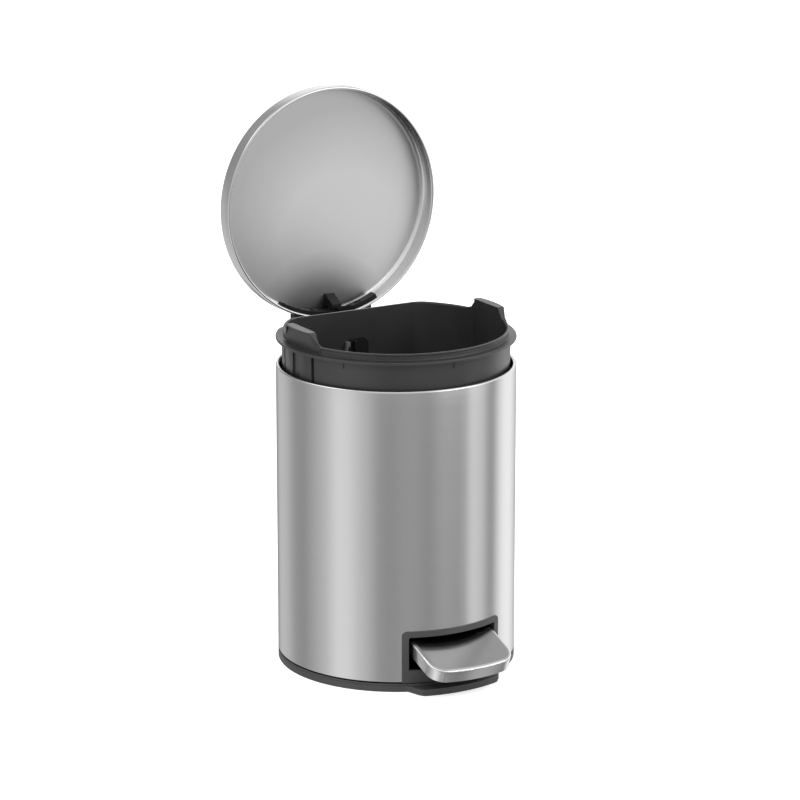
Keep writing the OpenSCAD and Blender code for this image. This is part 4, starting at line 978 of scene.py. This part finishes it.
def softenedCopy(node):
    s = softening
    look, width = softened[node]
    source = frame["nodes"][node]
    piece = addObject(node + "Soft", source.data.copy())
    shape = bmesh.new()
    shape.from_mesh(piece.data)
    bmesh.ops.remove_doubles(shape, verts=shape.verts, dist=s["weld"] * mm)
    bmesh.ops.dissolve_degenerate(shape, dist=s["weld"] * mm, edges=shape.edges)
    flat = math.radians(s["flatWithin"])
    bmesh.ops.dissolve_limit(shape, angle_limit=flat, verts=shape.verts, edges=shape.edges)
    shape.to_mesh(piece.data)
    shape.free()
    if node == "pedal_core":  # it follows the cap's rounder corners
        carve(piece, [pedalHollow(pedalSizes["sheet"] + s["coreGap"])], "INTERSECT")
    roundEdges(piece, width, s["segments"], s["angle"])
    smoothShade(piece, 34)
    return dress(piece, finish[look], source["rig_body"], slotOf[look], node)


def makeHook():
    s = clipHook
    # the hook's shape is real; its lighter grey is painted light for its lit face
    hook = roundEdges(frontBlock("clipHook", s["outline"], s["front"], s["back"]), s["edge"], 2, 40)
    return dress(hook, finish["hook"], "bucket", "black_plastic", "bag_clip")


for node in softened:
    softenedCopy(node)
makeHook()
print("softened pieces:", len(softened))

kept = {
    "pedal_axle": "zinc", "axle_clips": "zinc", "rear_channel": "black", "rod_guide": "nylon",
    "damper_cylinder": "black", "hinge_pin": "zinc", "lever_bushes": "nylon", "push_rod": "zinc",
    "damper_piston": "zinc", "return_spring": "zinc",
}
for node, look in kept.items():
    for materialSlot in frame["nodes"][node].material_slots:
        materialSlot.material = finish[look]
print("kept pieces:", len(kept))


# Camera, in metres and degrees

cameraSizes = {
    "azimuth": 30.0, "distance": 2.80558, "height": 0.98141, "pitch": 15.04121, "yaw": 0.06794,
    "lens": 153.0, "sensor": 36.0, "far": 50,
}


def turnToObject(x, y, z):  # from axes that look straight at the bin to the bin's own
    a = math.radians(cameraSizes["azimuth"])
    return Vector((math.cos(a) * x + math.sin(a) * y, -math.sin(a) * x + math.cos(a) * y, z))


def makeCamera():
    s = cameraSizes
    camera = addObject("photoCamera", bpy.data.cameras.new("photoCamera"))
    camera.data.lens = s["lens"]
    camera.data.sensor_width = s["sensor"]
    camera.data.clip_end = s["far"]
    camera.location = turnToObject(0, -s["distance"], s["height"])
    pitch, yaw = math.radians(s["pitch"]), math.radians(s["yaw"])
    ahead = turnToObject(math.sin(yaw) * math.cos(pitch), math.cos(yaw) * math.cos(pitch), -math.sin(pitch))
    camera.rotation_euler = ahead.to_track_quat("-Z", "Y").to_euler()
    scene.camera = camera


makeCamera()


# Studio, in metres: pale floor, a ring of light and grey cards that only the gloss sees, lamps

studio = {
    "ringRadius": 4.0, "ringLow": -6.0, "ringHigh": 8.0, "ringSides": 96, "cameraAngle": -120.0,
    "horizon": (-0.2, 0.9), "ceiling": (2.8, 3.8), "sky": 0.85,
    "floor": 0.9, "floorHalf": 9.0, "floorLift": 0.6,
    # brightness of the ring below, beside and above the bin: degrees to the right of the camera
    "low": [(-180, 0.22), (-170, 0.24), (-160, 0.38), (-150, 0.71), (-135, 0.75), (-126, 0.68), (-112, 0.44),
            (-98, 0.41), (-84, 0.61), (-72, 0.76), (-58, 1.12), (-46, 1.06), (-36, 0.83), (-26, 0.66),
            (-16, 0.42), (-4, 0.38), (8, 0.44), (18, 0.44), (32, 0.36), (44, 0.44), (62, 0.36), (69, 0.41),
            (76, 0.92), (90, 0.84), (98, 0.46), (105, 0.34), (113, 0.92), (124, 1.34), (140, 1.3), (152, 0.9),
            (164, 0.5), (176, 0.3)],
    "high": [(-180, 1.3), (-168, 1.1), (-152, 0.42), (-140, 0.36), (-118, 0.36), (-100, 0.5), (-40, 0.7),
             (30, 0.8), (50, 2.2), (75, 2.2), (100, 1.0), (140, 1.15)],
    "top": [(-180, 0.7), (-150, 0.5), (-125, 0.5), (-112, 2.2), (-82, 2.2), (-50, 0.9), (40, 0.9), (58, 1.3),
            (90, 1.3), (108, 0.9), (140, 0.7)],
    "lamps": [
        {"place": (-1.2, -1.8, 2.4), "power": 22.0, "size": 1.6},
        {"place": (2.0, -1.4, 2.1), "power": 24.0, "size": 1.8},
        {"place": (0.4, 1.8, 2.6), "power": 14.0, "size": 1.8},
    ],
    "lampsLookAt": (0, 0, 0.2),
}


def onlyGloss(obj, material):  # a studio card that lights nothing and shows only in polished things
    obj.data.materials.append(material)
    obj.visible_camera = False
    obj.visible_diffuse = False
    obj.visible_shadow = False
    obj.visible_transmission = False
    obj.visible_volume_scatter = False


def ringMaterial():
    s = studio
    material, tree, glow = newMaterial("studioCards", "ShaderNodeEmission")
    a = math.radians(s["cameraAngle"])
    across, along = [vectorNode(tree, "DOT_PRODUCT", vector) for vector in (
        (-math.sin(a), math.cos(a), 0), (math.cos(a), math.sin(a), 0))]
    turn = mathNode(tree, "ARCTAN2", across, along)  # 0 straight at the camera, turning right
    share = rangeNode(tree, turn, 0.0, 1.0, -math.pi, math.pi)
    tables = [s["low"], s["high"], s["top"]]
    highest = max(value for table in tables for angle, value in table)
    low, high, top = [
        rampNode(tree, share, [((angle + 180) / 360, value / highest) for angle, value in table])
        for table in tables]
    height = splitNode(tree, objectPlace(tree))["Z"]
    color = mixNode(tree, rangeNode(tree, height, 0.0, 1.0, *s["horizon"]), low, high)
    color = mixNode(tree, rangeNode(tree, height, 0.0, 1.0, *s["ceiling"]), color, top)
    tree.links.new(color, glow.inputs["Color"])
    glow.inputs["Strength"].default_value = highest
    return material


def makeRing():
    s = studio
    count = s["ringSides"]
    points = [(x, y, z / mm) for x, y in circlePoints(0, 0, s["ringRadius"] / mm, count)
              for z in (s["ringLow"], s["ringHigh"])]
    corners = [(2 * i, 2 * ((i + 1) % count)) for i in range(count)]
    ring = meshObject("studioRing", points, [(i, i + 1, j + 1, j) for i, j in corners])
    ring.data.shade_smooth()
    onlyGloss(ring, ringMaterial())


def makeFloor():
    half = studio["floorHalf"] / mm
    corners = [(-half, -half, 0), (half, -half, 0), (half, half, 0), (-half, half, 0)]
    floor = meshObject("paleFloor", corners, [(0, 1, 2, 3)])
    material, tree, shader = newMaterial("palePaper")
    shader.inputs["Roughness"].default_value = 1.0
    shader.inputs["Specular IOR Level"].default_value = 0.0
    paper = grainNode(tree, even, 3.0, detail=2.0)
    tone = rampNode(tree, paper, [(0.0, studio["floor"] - 0.01), (1.0, studio["floor"] + 0.01)])
    tree.links.new(tone, shader.inputs["Base Color"])
    lift = addNode(tree, "ShaderNodeEmission", {"Strength": studio["floorLift"]})
    lifted = addNode(tree, "ShaderNodeAddShader", {0: shader.outputs["BSDF"], 1: lift.outputs["Emission"]})
    seen = tree.nodes.new("ShaderNodeLightPath").outputs["Is Camera Ray"]
    mix = addNode(tree, "ShaderNodeMixShader", {
        "Fac": seen, 1: shader.outputs["BSDF"], 2: lifted.outputs["Shader"]})
    out = [node for node in tree.nodes if node.type == "OUTPUT_MATERIAL"][0]
    tree.links.new(mix.outputs["Shader"], out.inputs["Surface"])
    floor.data.materials.append(material)
    floor.visible_glossy = False


def makeWorld():
    world = bpy.data.worlds.new("studioWorld")
    scene.world = world
    world.use_nodes = True
    tree = world.node_tree
    tree.nodes.clear()
    light, white = [
        addNode(tree, "ShaderNodeBackground", {"Color": (1, 1, 1, 1), "Strength": power}).outputs[0]
        for power in (studio["sky"], 1.0)]
    path = tree.nodes.new("ShaderNodeLightPath").outputs
    seen = path["Is Camera Ray"]
    for label in ("Is Glossy Ray", "Is Transmission Ray"):
        seen = mathNode(tree, "MAXIMUM", seen, path[label])
    mix = addNode(tree, "ShaderNodeMixShader", {"Fac": seen, 1: light, 2: white})
    addNode(tree, "ShaderNodeOutputWorld", {"Surface": mix.outputs["Shader"]})


def makeLamps():
    for i, lamp in enumerate(studio["lamps"]):
        data = bpy.data.lights.new("softLamp%d" % i, "AREA")
        data.energy = lamp["power"]
        data.shape = "DISK"
        data.size = lamp["size"]
        holder = addObject(data.name, data)
        holder.location = lamp["place"]
        away = Vector(studio["lampsLookAt"]) - holder.location
        holder.rotation_euler = away.to_track_quat("-Z", "Y").to_euler()
        holder.visible_glossy = False


makeRing()
makeFloor()
makeWorld()
makeLamps()
scene.view_settings.view_transform = "Standard"
print("studio made")
